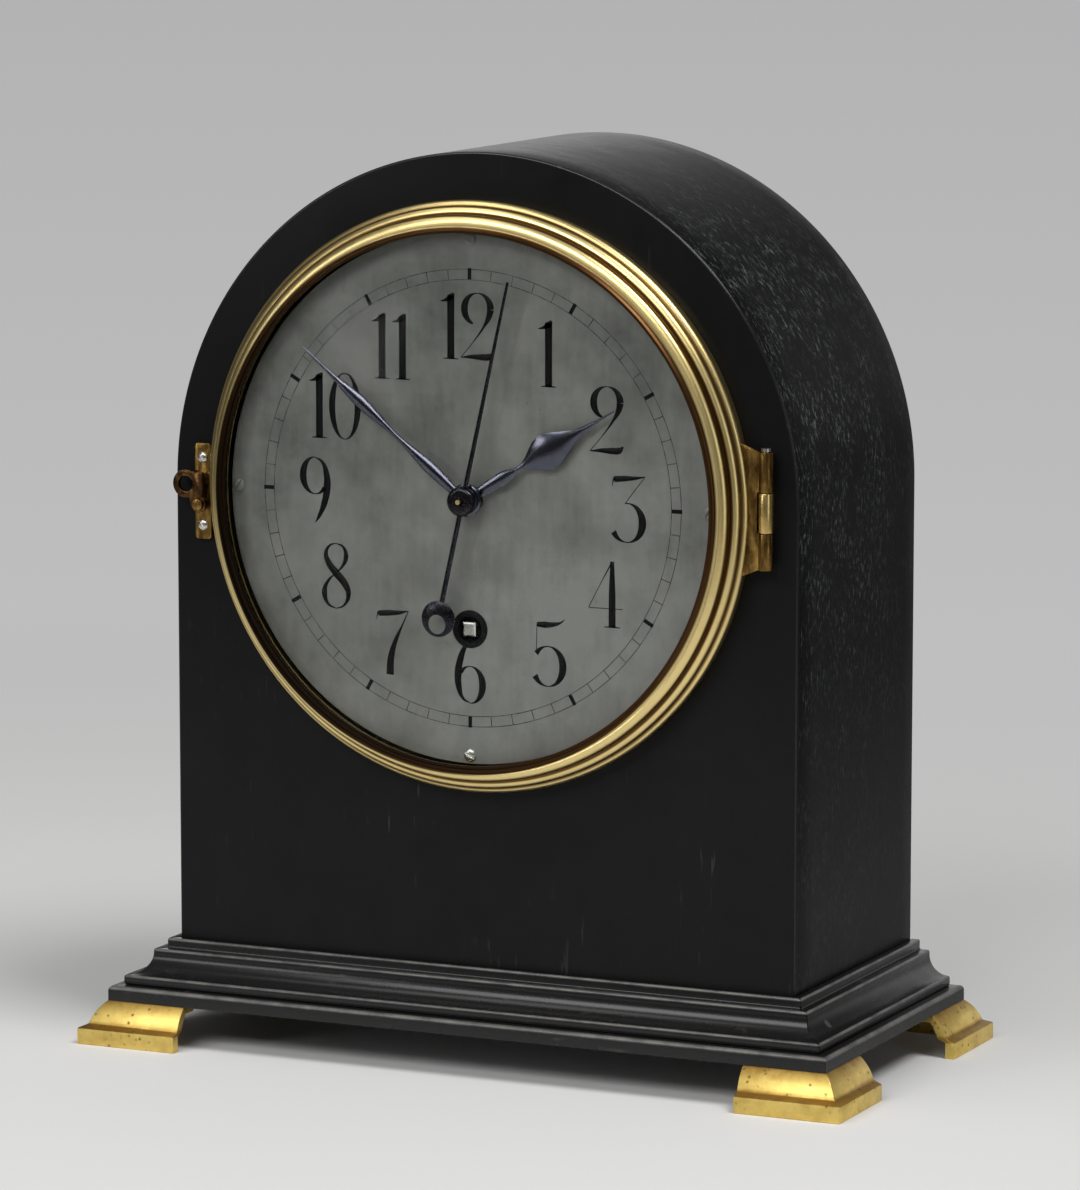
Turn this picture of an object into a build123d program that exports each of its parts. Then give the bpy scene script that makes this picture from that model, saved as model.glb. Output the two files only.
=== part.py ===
from build123d import *
import os
from math import acos, atan2, cos, hypot, pi, radians, sin, sqrt, tau

# Arched ebonised mantel timepiece: brass bezel and feet, silvered dial, centre seconds.
# Millimetres, +Z up, the dial faces -Y, origin on the table in the middle of the footprint.

# Case
case_margin = 12.9           # case beyond the bezel on each side
case_depth = 86.0
dial_drop = 132.0            # dial centre above the top of the plinth moulding
front_thickness = 12.0
shell_thickness = 10.0
back_thickness = 8.0
case_arris = 0.9

# Plinth moulding and slab, projections measured outwards from the case side
slab_height = 4.2
slab_projection = 15.3
slab_back_lip = 2.4
slab_edge_round = 1.3
lower_fillet_projection = 12.0
lower_fillet_height = 2.8
cove_height = 5.4
step_projection = 5.8
step_height = 1.6
top_fillet_projection = 2.8
top_fillet_height = 2.8

# Feet, measured outwards from the slab edge
foot_height = 12.0
foot_projection = 6.6
foot_length = 31.0
foot_plinth_height = 4.6
foot_step_rise = 1.0
foot_ovolo_projection = 4.2
foot_screw_radius = 1.6
foot_screw_head_radius = 3.2
foot_screw_head_height = 2.4
foot_screw_bite = 3.4
foot_wall = 2.8              # brass behind the moulded face
foot_web = 2.0               # top of the foot under the slab
foot_flange = 5.5            # top along each arm, in from the slab edge
foot_gusset = 16.0           # square top in the corner, which takes the screw

# Dial and its mount
movement_clearance = 3.3     # round opening beyond the corners of the movement plates
dial_seat = 4.8              # width of the ring on which the dial edge is screwed
dial_thickness = 1.6
dial_proud = 6.6             # dial face in front of the case front
mount_ring_margin = 0.5      # mount ring beyond the dial edge
dial_screw_radius = 0.9
dial_screw_head_radius = 1.8
dial_screw_head_height = 0.7
dial_screw_length = 14.0
winding_drop = 36.1          # winding arbor below the dial centre
winding_hole_radius = 4.5
dial_foot_radius = 1.8
dial_foot_inset = 6.0        # dial feet in from the side of the movement plate
dial_foot_tenon = 1.1
dial_foot_top = 20.0
dial_foot_bottom = -30.0

# Bezel section: widths from the lip outwards, drops below the top of the lip
bezel_lip_cover = 0.3        # lip reaches in over the dial edge
bezel_clearance = 2.9        # skirt clear of the mount ring
bezel_back_gap = 0.3
lip_height = 1.5             # lip in front of the glass rim
lip_land = 0.7
lip_slope_width = 0.4
lip_slope_drop = 0.65
cove_width = 1.6
cove_edge_drop = 0.85
cove_middle_drop = 1.0
inner_bead_width = 2.0
inner_bead_crown = 0.3       # crown of the inner bead inside its outer edge
inner_bead_drop = 1.8
groove_width = 0.4
groove_drop = 3.9
outer_bead_width = 2.1
outer_bead_crown = 0.6
outer_bead_drop = 4.6
nosing_width = 1.3
nosing_drop = 6.2
nosing_height = 4.2          # widest level of the bezel in front of the case front
nosing_foot = 2.6
nosing_undercut = 0.6
rebate_drop = 4.6
solder_depth = 1.0           # hinge leaf and catch let into the bezel edge

# Convex glass and the ring that holds it
glass_seat_width = 1.9
glass_thickness = 1.3
glass_sphere_radius = 260.0
hand_clearance = 0.66        # seconds hand tip to the glass
retainer_width = 1.2
retainer_thickness = 0.6

# Bezel hinge on the right and latch on the left
hinge_offset = 5.0           # hinge axis beyond the bezel edge
hinge_axis_height = 4.0      # axis in front of the case front
hinge_barrel_radius = 2.0
hinge_pin_radius = 0.8
hinge_top = 17.2
hinge_middle_top = 6.3
hinge_middle_bottom = -4.9
hinge_bottom = -14.8
hinge_flare = 3.3            # leaf grows this much taller towards the bezel
hinge_leaf_thickness = 1.2
hinge_tang_depth = 8.0
pin_head_height = 0.8
pin_head_radius = 1.3
latch_plate_width = 5.0
latch_plate_top = 10.5
latch_plate_bottom = -16.6
latch_plate_thickness = 1.4
latch_plate_corner = 1.0
latch_plate_gap = 1.2        # latch plate clear of the bezel edge
latch_pivot_z = -6.5
latch_pivot_radius = 0.9
latch_stud_head_radius = 1.6
latch_stud_head_height = 0.6
latch_screw_inset = 4.0
latch_screw_radius = 0.8
latch_screw_head_radius = 1.5
latch_screw_head_height = 0.7
latch_screw_length = 7.0
latch_hook_thickness = 1.5
hook_boss_radius = 2.4
hook_neck = 1.4              # near edge of the hook's arm beside its pivot
nose_width = 2.2
latch_loop_offset = 4.0      # finger loop outwards from the pivot
latch_loop_z = -0.8
latch_loop_radius = 4.0
latch_loop_hole = 2.2
catch_reach = 2.0
catch_bottom = -0.5
catch_top = 2.6
catch_thickness = 1.3

# Arched back door
door_border = 15.0           # frame width left around the door opening
door_rail = 24.0             # frame height left under the door opening
door_thickness = 6.0
door_clearance = 0.6
back_barrel_radius = 1.8
back_pin_radius = 0.7
back_leaf_thickness = 1.0
back_leaf_width = 9.0
back_knuckle = 8.0
back_hinge_spread = 34.0     # each hinge above and below the middle of the door's straight side
knob_radius = 4.6
knob_reach = 8.0
knob_neck_length = 2.5
knob_stem_radius = 2.0
knob_inset = 14.0
button_length = 20.0
button_width = 8.0
button_thickness = 2.0
button_screw_radius = 1.2
button_screw_head = 2.6
button_screw_head_height = 1.2
button_screw_length = 6.0

# Movement frame
motion_gap = 9.0             # dial back to front plate
plate_thickness = 2.5
plate_spacing = 30.0
plate_half_width = 36.0
plate_top_margin = 8.8       # plate above the balance
plate_bottom_margin = 2.3    # plate below the great wheel
plate_corner = 12.0
pillar_radius = 3.0
pillar_inset = 8.0
tenon_radius = 1.5
nut_radius = 3.1
nut_height = 2.2
post_radius = 2.4
post_clearance = 5.9         # posts clear of the fourth wheel
post_directions = (215.0, -15.0)
post_seat = 2.0              # escapement plate beyond its posts
pivot_seat = 1.5             # escapement plate beyond its outer pivots
escapement_plate_thickness = 2.0
cock_thickness = 2.0
cock_foot_radius = 3.0
cock_foot_clearance = 2.0
cock_end_radius = 3.2
cock_tail_radius = 1.6

# Layers of the movement: free gaps from one layer to the next
great_gap = 2.0              # front plate to great wheel
drum_clearance = 3.5         # barrel drum to intermediate wheel
intermediate_setback = 6.0   # intermediate wheel in front of the back plate
centre_setback = 3.2
third_gap = 1.5              # back plate to third wheel
fourth_gap = 1.8
escape_gap = 1.1
lever_gap = 0.95             # lever to escapement plate
balance_gap = 2.0
hairspring_gap = 1.4
cock_gap = 2.6               # hairspring to cock
minute_wheel_gap = 0.8
hour_wheel_gap = 1.6
leaf_overrun = 0.5           # pinion leaves beyond the wheel they mesh with
pipe_proud = 0.3             # pipes and tube in front of the hand they carry
stud_overrun = 0.5           # studs in front of what turns on them

# Going train: teeth and modules
great_teeth = 60
great_module = 0.7
intermediate_pinion_leaves = 10
intermediate_teeth = 60
intermediate_module = 0.64
centre_pinion_leaves = 10
centre_teeth = 64
centre_module = 0.56
third_pinion_leaves = 8
third_teeth = 60
fourth_pinion_leaves = 8
fourth_teeth = 64
fourth_module = 0.49
escape_pinion_leaves = 8
escape_teeth = 15
escape_radius = 8.0
cannon_leaves = 10
minute_wheel_teeth = 30
motion_module = 0.6
minute_pinion_leaves = 8
hour_wheel_teeth = 32
third_angle = 150.0          # directions seen from the front, anticlockwise from three o'clock
escape_angle = 40.0
minute_wheel_angle = 0.0
wheel_thickness = 1.4
crossing_width = 2.2
wheel_rim_share = 0.80
wheel_hub_radius = 3.6
great_wheel_thickness = 2.5
arbor_radius = 1.3
pivot_radius = 0.7
fourth_arbor_radius = 0.7
centre_tube_radius = 1.6
cannon_wall = 0.7
hour_pipe_wall = 0.72

# Barrel and winding
drum_inset = 2.4             # barrel drum inside the pitch circle of the great wheel
barrel_wall = 1.2
barrel_arbor_radius = 3.0
winding_square = 3.8
winding_square_proud = 0.8
square_chamfer = 0.4
front_pivot_radius = 2.8
back_pivot_radius = 2.0
mainspring_strip = 0.45
mainspring_turns = 6
ratchet_teeth = 20
ratchet_radius = 8.6
ratchet_tooth_depth = 1.3
ratchet_thickness = 1.6
click_distance = 4.2         # click stud beyond the ratchet teeth
click_direction = 60.0
click_tip_direction = 20.0
click_nose = 2.2
click_boss = 2.2
click_flank = 1.76           # edges of the click beside its stud
click_spring_strip = 0.6
click_spring_foot_radius = 2.0
click_spring_from = (17.0, -6.9)
click_spring_to = (11.2, 7.1)

# Escapement
escapement_angle = 100.0     # line from the escape wheel through the lever to the balance
escape_thickness = 1.0
escape_tooth_depth = 2.2
escape_arbor_radius = 0.9
lever_offset = 3.6           # lever arbor beyond the escape teeth
balance_distance = 12.6
lever_swing_room = 0.45      # radial travel of a pallet pin as the lever rocks
staff_radius = 1.2
stud_radius = 0.9
lever_boss_radius = 1.8
lever_arm = 1.2
pallet_eye_radius = 0.9
pallet_half_span = 30.0
pallet_pin_overrun = 0.3
fork_half = 1.3
fork_depth = 2.0
fork_root = 1.0
fork_horn = 0.8
pallet_pin_radius = 0.4
balance_radius = 10.0
balance_rim = 1.6
balance_thickness = 2.0
balance_arm = 1.8
balance_hub_radius = 2.2
roller_radius = 3.0
roller_thickness = 1.0
roller_gap = 0.8
impulse_orbit = 2.1
impulse_pin_radius = 0.35
hairspring_strip = 0.25
hairspring_turns = 5
hairspring_pitch = 1.0
hairspring_height = 1.0
spring_stud_radius = 0.8

# Hands: clockwise from twelve in degrees, levels in front of the dial face
hour_angle = 59.0
minute_angle = 309.0
seconds_angle = 12.7
hour_hand_level = 2.2
minute_hand_level = 3.4
seconds_hand_level = 4.6
hand_thickness = 0.5
hour_hand_inset = 21.9       # hand tips in from the dial edge
minute_hand_inset = 10.0
seconds_hand_inset = 11.5
hand_tip = 0.2
hour_boss_rim = 1.5
minute_boss_rim = 1.5
needle_root = 0.6
needle_tip = 0.22
seconds_tail = 33.9
counterpoise_radius = 5.0
counterpoise_hole = 2.7
counterpoise_offset = 1.6
seconds_boss_radius = 4.0
seconds_boss_height = 2.3
seconds_tip_height = 1.0

# Clearances
running = 0.08               # radial play of a shaft in its hole
seat = 0.05                  # play of a fixed piece in its hole
end_shake = 0.25             # play along an arbor
free = 0.35                  # gap beside a piece that moves

# Tooth forms in modules and in shares of the tooth pitch: addendum, dedendum, half tip, half root
wheel_tooth = (0.9, 1.25, 0.09, 0.24)
pinion_leaf = (0.62, 1.3, 0.10, 0.15)
# Escape tooth in shares of its pitch: where the face starts, the tip, and where the back ends
escape_tooth = (0.0, 0.30, 0.38, 0.55)


def polar(centre, distance, angle):
    """Point at a distance and a direction in radians from a centre."""
    return (centre[0] + distance * cos(angle), centre[1] + distance * sin(angle))


def direction(start, end):
    """Direction in radians from one point to another."""
    return atan2(end[1] - start[1], end[0] - start[0])


def tip_radius(teeth, module):
    """Radius over the teeth of a wheel."""
    return module * (teeth / 2 + wheel_tooth[0])


# Places of the arbors, seen from the front and measured from the dial centre
centre = (0, 0)
barrel_spot = (0, -winding_drop)
great_distance = great_module * (great_teeth + intermediate_pinion_leaves) / 2
intermediate_distance = intermediate_module * (intermediate_teeth + centre_pinion_leaves) / 2
third_distance = centre_module * (centre_teeth + third_pinion_leaves) / 2
third_module = 2 * third_distance / (third_teeth + fourth_pinion_leaves)
escape_distance = fourth_module * (fourth_teeth + escape_pinion_leaves) / 2
motion_distance = motion_module * (cannon_leaves + minute_wheel_teeth) / 2
hour_module = 2 * motion_distance / (minute_pinion_leaves + hour_wheel_teeth)
swing = acos((intermediate_distance**2 + winding_drop**2 - great_distance**2)
             / (2 * intermediate_distance * winding_drop))
intermediate_spot = polar(centre, intermediate_distance, -pi / 2 - swing)
third_spot = polar(centre, third_distance, radians(third_angle))
escape_spot = polar(centre, escape_distance, radians(escape_angle))
minute_spot = polar(centre, motion_distance, radians(minute_wheel_angle))
escapement_line = radians(escapement_angle)
lever_spot = polar(escape_spot, escape_radius + lever_offset, escapement_line)
balance_spot = polar(lever_spot, balance_distance, escapement_line)
click_spot = polar(barrel_spot, ratchet_radius + click_distance, radians(click_direction))

# Movement plates round the train, and the pillars, posts and dial feet that they carry
plate_top = balance_spot[1] + plate_top_margin
plate_bottom = -winding_drop - tip_radius(great_teeth, great_module) - plate_bottom_margin
plate_middle = (plate_top + plate_bottom) / 2
plate_reach = plate_corner + hypot(plate_half_width - plate_corner,
                                   max(plate_top, -plate_bottom) - plate_corner)
pillar_spots = [(side * (plate_half_width - pillar_inset), z) for side in (-1, 1)
                for z in (plate_bottom + pillar_inset, plate_top - pillar_inset)]
dial_foot_spots = [(side * (plate_half_width - dial_foot_inset), z) for side in (-1, 1)
                   for z in (dial_foot_bottom, dial_foot_top)]
post_distance = tip_radius(fourth_teeth, fourth_module) + post_radius + post_clearance
cock_reach = balance_radius + cock_foot_radius + cock_foot_clearance
cock_foot_spot = (balance_spot[0] - cock_reach, balance_spot[1])
post_spots = [polar(centre, post_distance, radians(angle)) for angle in post_directions] + [cock_foot_spot]

# Pipes on the dial axis, one inside the other
cannon_radius = centre_tube_radius + cannon_wall
hour_pipe_radius = cannon_radius + hour_pipe_wall + running

# Dial round the movement and bezel round the dial
dial_hole_radius = plate_reach + movement_clearance
dial_radius = dial_hole_radius + dial_seat
dial_screw_ring_radius = dial_hole_radius + dial_seat / 2
dial_screw_spots = [polar(centre, dial_screw_ring_radius, quarter * pi / 2) for quarter in range(4)]
mount_ring_radius = dial_radius + mount_ring_margin
hour_hand_length = dial_radius - hour_hand_inset
minute_hand_length = dial_radius - minute_hand_inset
seconds_hand_length = dial_radius - seconds_hand_inset
bezel_inner_radius = mount_ring_radius + bezel_clearance
bezel_lip_radius = dial_radius - bezel_lip_cover
glass_radius = bezel_lip_radius + glass_seat_width
glass_rebate_radius = glass_radius + 2 * seat
glass_back_radius = glass_sphere_radius - glass_thickness
glass_rim_drop = sqrt(glass_sphere_radius**2 - glass_radius**2)
hand_reach = dial_proud + seconds_hand_level + hand_thickness + hand_clearance
glass_centre = hand_reach - sqrt(glass_back_radius**2 - seconds_hand_length**2)
bezel_height = glass_centre + glass_rim_drop + lip_height

# Corners of the bezel section: radius and height in front of the case front
lip_corner = (bezel_lip_radius + lip_land, bezel_height)
lip_outer = (lip_corner[0] + lip_slope_width, bezel_height - lip_slope_drop)
cove_outer = (lip_outer[0] + cove_width, bezel_height - cove_edge_drop)
cove_middle = (lip_outer[0] + cove_width / 2, bezel_height - cove_middle_drop)
groove_inner = (cove_outer[0] + inner_bead_width, bezel_height - groove_drop)
inner_bead_peak = (groove_inner[0] - inner_bead_crown, bezel_height - inner_bead_drop)
groove_outer = (groove_inner[0] + groove_width, bezel_height - groove_drop)
nosing_inner = (groove_outer[0] + outer_bead_width, bezel_height - nosing_drop)
outer_bead_peak = (nosing_inner[0] - outer_bead_crown, bezel_height - outer_bead_drop)
bezel_outer_radius = nosing_inner[0] + nosing_width
nosing_root = bezel_outer_radius - nosing_undercut
rebate_back = bezel_height - rebate_drop
hinge_axis_x = bezel_outer_radius + hinge_offset

# Case round the bezel, on its plinth
case_half = bezel_outer_radius + case_margin
slab_top = foot_height + slab_height
plinth_height = lower_fillet_height + cove_height + step_height + top_fillet_height
dial_height = slab_top + plinth_height + dial_drop
case_drop = dial_height - slab_top
slab_depth = slab_projection + case_depth + slab_back_lip
slab_half_width = case_half + slab_projection
slab_half_depth = slab_depth / 2

# Levels along the depth
case_front = slab_projection - slab_half_depth
case_back = case_front + case_depth
shell_front = case_front + front_thickness
shell_back = case_back - back_thickness
dial_front = case_front - dial_proud
dial_back = dial_front + dial_thickness
front_plate_front = dial_back + motion_gap
front_plate_back = front_plate_front + plate_thickness
back_plate_front = front_plate_back + plate_spacing
back_plate_back = back_plate_front + plate_thickness
great_front = front_plate_back + great_gap
great_back = great_front + great_wheel_thickness
intermediate_front = back_plate_front - intermediate_setback
centre_front = back_plate_front - centre_setback
drum_back = intermediate_front - drum_clearance
third_front = back_plate_back + third_gap
fourth_front = third_front + wheel_thickness + fourth_gap
escape_front = fourth_front + wheel_thickness + escape_gap
lever_front = escape_front + escape_thickness + free
lever_back = lever_front + escape_thickness
escapement_front = lever_back + lever_gap
escapement_back = escapement_front + escapement_plate_thickness
balance_front = escapement_back + balance_gap
hairspring_front = balance_front + balance_thickness + hairspring_gap
cock_front = hairspring_front + hairspring_height + cock_gap
cock_back = cock_front + cock_thickness
minute_wheel_back = front_plate_front - minute_wheel_gap
minute_wheel_front = minute_wheel_back - wheel_thickness
hour_wheel_back = minute_wheel_front - hour_wheel_gap
hour_wheel_front = hour_wheel_back - wheel_thickness
ratchet_back = front_plate_front - end_shake
ratchet_front = ratchet_back - ratchet_thickness
hour_hand_front = dial_front - hour_hand_level - hand_thickness
minute_hand_front = dial_front - minute_hand_level - hand_thickness
dial_axis = Axis((0, 0, dial_height), (0, 1, 0))

os.makedirs("parts", exist_ok=True)


def save(piece, name):
    """Label a finished piece and write it under its own name."""
    piece.part.label = name
    export_step(piece.part, f"parts/{name}.step")


def dial_plane(y):
    """Plane parallel to the dial at depth y, centred on the dial, seen from the front."""
    return Plane(origin=(0, y, dial_height), x_dir=(1, 0, 0), z_dir=(0, -1, 0))


def hand_plane(y, clock_angle):
    """Dial plane turned so that its own y axis points where a hand points."""
    turn = radians(clock_angle)
    return Plane(origin=(0, y, dial_height), x_dir=(cos(turn), 0, -sin(turn)), z_dir=(0, -1, 0))


def section_plane():
    """Half section of a turned piece: x is the radius, y the height in front of the case front."""
    return Plane(origin=(0, case_front, dial_height), x_dir=(1, 0, 0), z_dir=(0, 0, -1))


def turned(centre, steps, mode=Mode.ADD):
    """Coaxial cylinders along the depth: each step is a radius, its front and its back."""
    for radius, front, back in steps:
        with BuildSketch(dial_plane(back)) as face:
            with Locations(centre):
                Circle(radius)
        extrude(face.sketch, amount=back - front, mode=mode)


def drilled(centres, radius, front, back):
    """Round holes right through a layer, at each of the centres."""
    with BuildSketch(dial_plane(back)) as face:
        with Locations(*centres):
            Circle(radius)
    extrude(face.sketch, amount=back - front, mode=Mode.SUBTRACT)


def arch_face(y, radius, drop):
    """Arched outline about the dial centre with straight sides down to a level foot."""
    with BuildSketch(dial_plane(y)) as face:
        with BuildLine():
            Line((radius, 0), (radius, -drop))
            Line((radius, -drop), (-radius, -drop))
            Line((-radius, -drop), (-radius, 0))
            ThreePointArc((-radius, 0), (0, radius), (radius, 0))
        make_face()
    return face.sketch


def mesh_phase(angle, teeth_1, phase_1, teeth_2):
    """Phase of a second wheel in mesh with a first one that lies in the given direction."""
    share = (angle - phase_1) * teeth_1 / tau
    return angle + pi - (0.5 - share) * tau / teeth_2


def toothed_rim(centre, teeth, module, phase, form):
    """Closed outline of a toothed wheel, four corners to a tooth."""
    addendum, dedendum, half_tip, half_root = form
    tip = module * (teeth / 2 + addendum)
    root = module * (teeth / 2 - dedendum)
    corners = []
    for tooth in range(teeth):
        for share, radius in ((-half_root, root), (-half_tip, tip), (half_tip, tip), (half_root, root)):
            corners.append(polar(centre, radius, phase + (tooth + share) * tau / teeth))
    Polyline(*corners, close=True)


def toothed_layer(centre, teeth, module, phase, form, front, back):
    """Solid toothed disc between two depths."""
    with BuildSketch(dial_plane(back)) as face:
        with BuildLine():
            toothed_rim(centre, teeth, module, phase, form)
        make_face()
    extrude(face.sketch, amount=back - front)


def wheel_face(centre, teeth, module, phase, bore, back):
    """Clock wheel with four crossings, a hub and a bore."""
    rim = module * teeth / 2 * wheel_rim_share
    with BuildSketch(dial_plane(back)) as face:
        with BuildLine():
            toothed_rim(centre, teeth, module, phase, wheel_tooth)
        make_face()
        with Locations(centre):
            Circle(rim, mode=Mode.SUBTRACT)
            Circle(wheel_hub_radius)
            Rectangle(2 * rim + crossing_width, crossing_width)
            Rectangle(crossing_width, 2 * rim + crossing_width)
            Circle(bore, mode=Mode.SUBTRACT)
    return face.sketch


def spiral_face(plane, centre, start_radius, pitch, turns, strip):
    """Flat spiral strip of half-turn arcs struck from two centres in turn."""
    step = pitch / 2
    inner = []
    outer = []
    for half in range(2 * turns):
        side = 1 if half % 2 == 0 else -1
        hub = centre[0] + (0 if half % 2 == 0 else step)
        radius = start_radius + half * step
        for edge, offset in ((inner, -strip / 2), (outer, strip / 2)):
            reach = radius + offset
            edge.append([(hub + side * reach, centre[1]), (hub, centre[1] + side * reach),
                         (hub - side * reach, centre[1])])
    with BuildSketch(plane) as face:
        with BuildLine():
            for arc in inner + outer:
                ThreePointArc(*arc)
            Line(inner[0][0], outer[0][0])
            Line(inner[-1][2], outer[-1][2])
        make_face()
    return face.sketch


# Front board of the case, with the round opening for the movement
hinge_slot_width = hinge_leaf_thickness + 2 * seat
hinge_slot_middle = (hinge_middle_top + hinge_middle_bottom) / 2
hinge_slot_height = hinge_middle_top - hinge_middle_bottom - 2 * end_shake + 2 * seat
latch_plate_right = -(bezel_outer_radius + latch_plate_gap)
latch_plate_x = latch_plate_right - latch_plate_width / 2
latch_screw_spots = [(latch_plate_x, latch_plate_top - latch_screw_inset),
                     (latch_plate_x, latch_plate_bottom + latch_screw_inset)]
with BuildPart() as case_front_board:
    extrude(arch_face(shell_front, case_half, case_drop), amount=front_thickness)
    fillet(faces().sort_by(Axis.Y)[0].outer_wire().edges().sort_by(Axis.Z)[1:], case_arris)
    drilled([(0, 0)], dial_hole_radius, case_front, shell_front)
    drilled(dial_screw_spots, dial_screw_radius + seat, case_front, shell_front)
    drilled(latch_screw_spots, latch_screw_radius + seat, case_front, case_front + latch_screw_length)
    with BuildSketch(dial_plane(case_front + hinge_tang_depth + seat)):
        with Locations((hinge_axis_x, hinge_slot_middle)):
            Rectangle(hinge_slot_width, hinge_slot_height)
    extrude(amount=hinge_tang_depth + seat, mode=Mode.SUBTRACT)
save(case_front_board, "case_front_board")

# Bent shell that forms the sides and the arched top
with BuildPart() as case_shell:
    extrude(arch_face(shell_back, case_half, case_drop), amount=shell_back - shell_front)
    extrude(arch_face(shell_back, case_half - shell_thickness, case_drop), amount=shell_back - shell_front,
            mode=Mode.SUBTRACT)
save(case_shell, "case_shell")

# Arched frame at the back, round the door opening
opening_radius = case_half - door_border
opening_drop = case_drop - door_rail
door_radius = opening_radius - door_clearance
door_drop = opening_drop - door_clearance
button_spot = (-(opening_radius + button_width / 2 + free), -door_drop / 2)
with BuildPart() as back_frame:
    extrude(arch_face(case_back, case_half, case_drop), amount=back_thickness)
    extrude(arch_face(case_back, opening_radius, opening_drop), amount=back_thickness, mode=Mode.SUBTRACT)
    drilled([button_spot], button_screw_radius + seat, case_back - button_screw_length, case_back)
save(back_frame, "back_frame")

# Slab under the case
foot_inset = foot_gusset / 2
foot_spots = [(side * (slab_half_width - foot_inset), end * (slab_half_depth - foot_inset))
              for side in (-1, 1) for end in (-1, 1)]
with BuildPart() as base_slab:
    with BuildSketch(Plane.XY.offset(foot_height)):
        Rectangle(2 * slab_half_width, slab_depth)
    extrude(amount=slab_height)
    fillet(faces().sort_by(Axis.Z)[-1].edges().sort_by(Axis.Y)[:-1], slab_edge_round)
    with BuildSketch(Plane.XY.offset(foot_height)):
        with Locations(*foot_spots):
            Circle(foot_screw_radius + seat)
    extrude(amount=foot_screw_bite, mode=Mode.SUBTRACT)
save(base_slab, "base_slab")


def plinth_profile(plane):
    """Plinth moulding section: x outwards from the case side, y up from the slab."""
    cove_top = lower_fillet_height + cove_height
    cove_reach = lower_fillet_projection - step_projection
    cove_middle = (lower_fillet_projection - cove_reach * sqrt(0.5), cove_top - cove_height * sqrt(0.5))
    step_top = cove_top + step_height
    with BuildSketch(plane) as face:
        with BuildLine():
            Polyline((step_projection, cove_top), (step_projection, step_top),
                     (top_fillet_projection, step_top), (top_fillet_projection, plinth_height),
                     (0, plinth_height), (0, 0), (lower_fillet_projection, 0),
                     (lower_fillet_projection, lower_fillet_height))
            ThreePointArc((lower_fillet_projection, lower_fillet_height), cove_middle,
                          (step_projection, cove_top))
        make_face()
    return face.sketch


# Plinth moulding on three sides, mitred at the front corners
mitre_x = case_half + slab_projection
mitre_y = case_front - slab_projection
with BuildPart() as plinth_front:
    extrude(plinth_profile(Plane(origin=(0, case_front, slab_top), x_dir=(0, -1, 0), z_dir=(-1, 0, 0))),
            amount=mitre_x, both=True)
    with BuildSketch(Plane.XY.offset(slab_top)):
        Polygon((-mitre_x, mitre_y), (mitre_x, mitre_y), (case_half, case_front), (-case_half, case_front),
                align=None)
    extrude(amount=plinth_height, mode=Mode.INTERSECT)
save(plinth_front, "plinth_front")
for side, name in ((-1, "plinth_left"), (1, "plinth_right")):
    with BuildPart() as plinth_side:
        extrude(plinth_profile(Plane(origin=(side * case_half, 0, slab_top), x_dir=(side, 0, 0),
                                     z_dir=(0, -side, 0))), amount=case_depth, both=True)
        with BuildSketch(Plane.XY.offset(slab_top)):
            Polygon((side * case_half, case_front), (side * mitre_x, mitre_y), (side * mitre_x, case_back),
                    (side * case_half, case_back), align=None)
        extrude(amount=plinth_height, mode=Mode.INTERSECT)
    save(plinth_side, name)


def foot_profile(plane):
    """Foot section: x outwards from the slab edge, y up from the table."""
    inner = foot_projection - foot_length
    ovolo_foot = foot_plinth_height + foot_step_rise
    ovolo_middle = (foot_ovolo_projection * sqrt(0.5), ovolo_foot + (foot_height - ovolo_foot) * sqrt(0.5))
    with BuildSketch(plane) as face:
        with BuildLine():
            Polyline((0, foot_height), (inner, foot_height), (inner, 0), (foot_projection, 0),
                     (foot_projection, foot_plinth_height), (foot_ovolo_projection, ovolo_foot))
            ThreePointArc((foot_ovolo_projection, ovolo_foot), ovolo_middle, (0, foot_height))
        make_face()
    return face.sketch


def foot_block(side, end, setback):
    """Square block at a corner of the slab with the foot section on its two outer sides."""
    corner = (side * (slab_half_width - setback), end * (slab_half_depth - setback), 0)
    with BuildPart() as block:
        extrude(foot_profile(Plane(origin=corner, x_dir=(side, 0, 0), z_dir=(0, -side, 0))),
                amount=foot_length, both=True)
        extrude(foot_profile(Plane(origin=corner, x_dir=(0, end, 0), z_dir=(end, 0, 0))),
                amount=foot_length, both=True, mode=Mode.INTERSECT)
    return block.part


# Four corner brackets: moulded outside, hollow inside, open at the inner ends
gusset_under = foot_height - foot_web
arm_outline = [(foot_flange, foot_gusset), (foot_flange, foot_length), (foot_length, foot_length),
               (foot_length, foot_flange), (foot_gusset, foot_flange), (foot_gusset, foot_gusset)]
for side, hand in ((-1, "left"), (1, "right")):
    for end, place in ((-1, "front"), (1, "rear")):
        spot = (side * (slab_half_width - foot_inset), end * (slab_half_depth - foot_inset))
        with BuildPart() as hollow:
            add(foot_block(side, end, foot_wall))
            split(bisect_by=Plane.XY.offset(gusset_under), keep=Keep.BOTTOM)
        with BuildPart() as foot:
            add(foot_block(side, end, 0))
            add(hollow.part, mode=Mode.SUBTRACT)
            with BuildSketch(Plane.XY.offset(gusset_under)):
                Polygon(*[(side * (slab_half_width - across), end * (slab_half_depth - along))
                          for across, along in arm_outline], align=None)
            extrude(amount=foot_web, mode=Mode.SUBTRACT)
            with BuildSketch(Plane.XY.offset(gusset_under)):
                with Locations(spot):
                    Circle(foot_screw_radius + seat)
            extrude(amount=foot_web, mode=Mode.SUBTRACT)
        save(foot, f"foot_{place}_{hand}")

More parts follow.
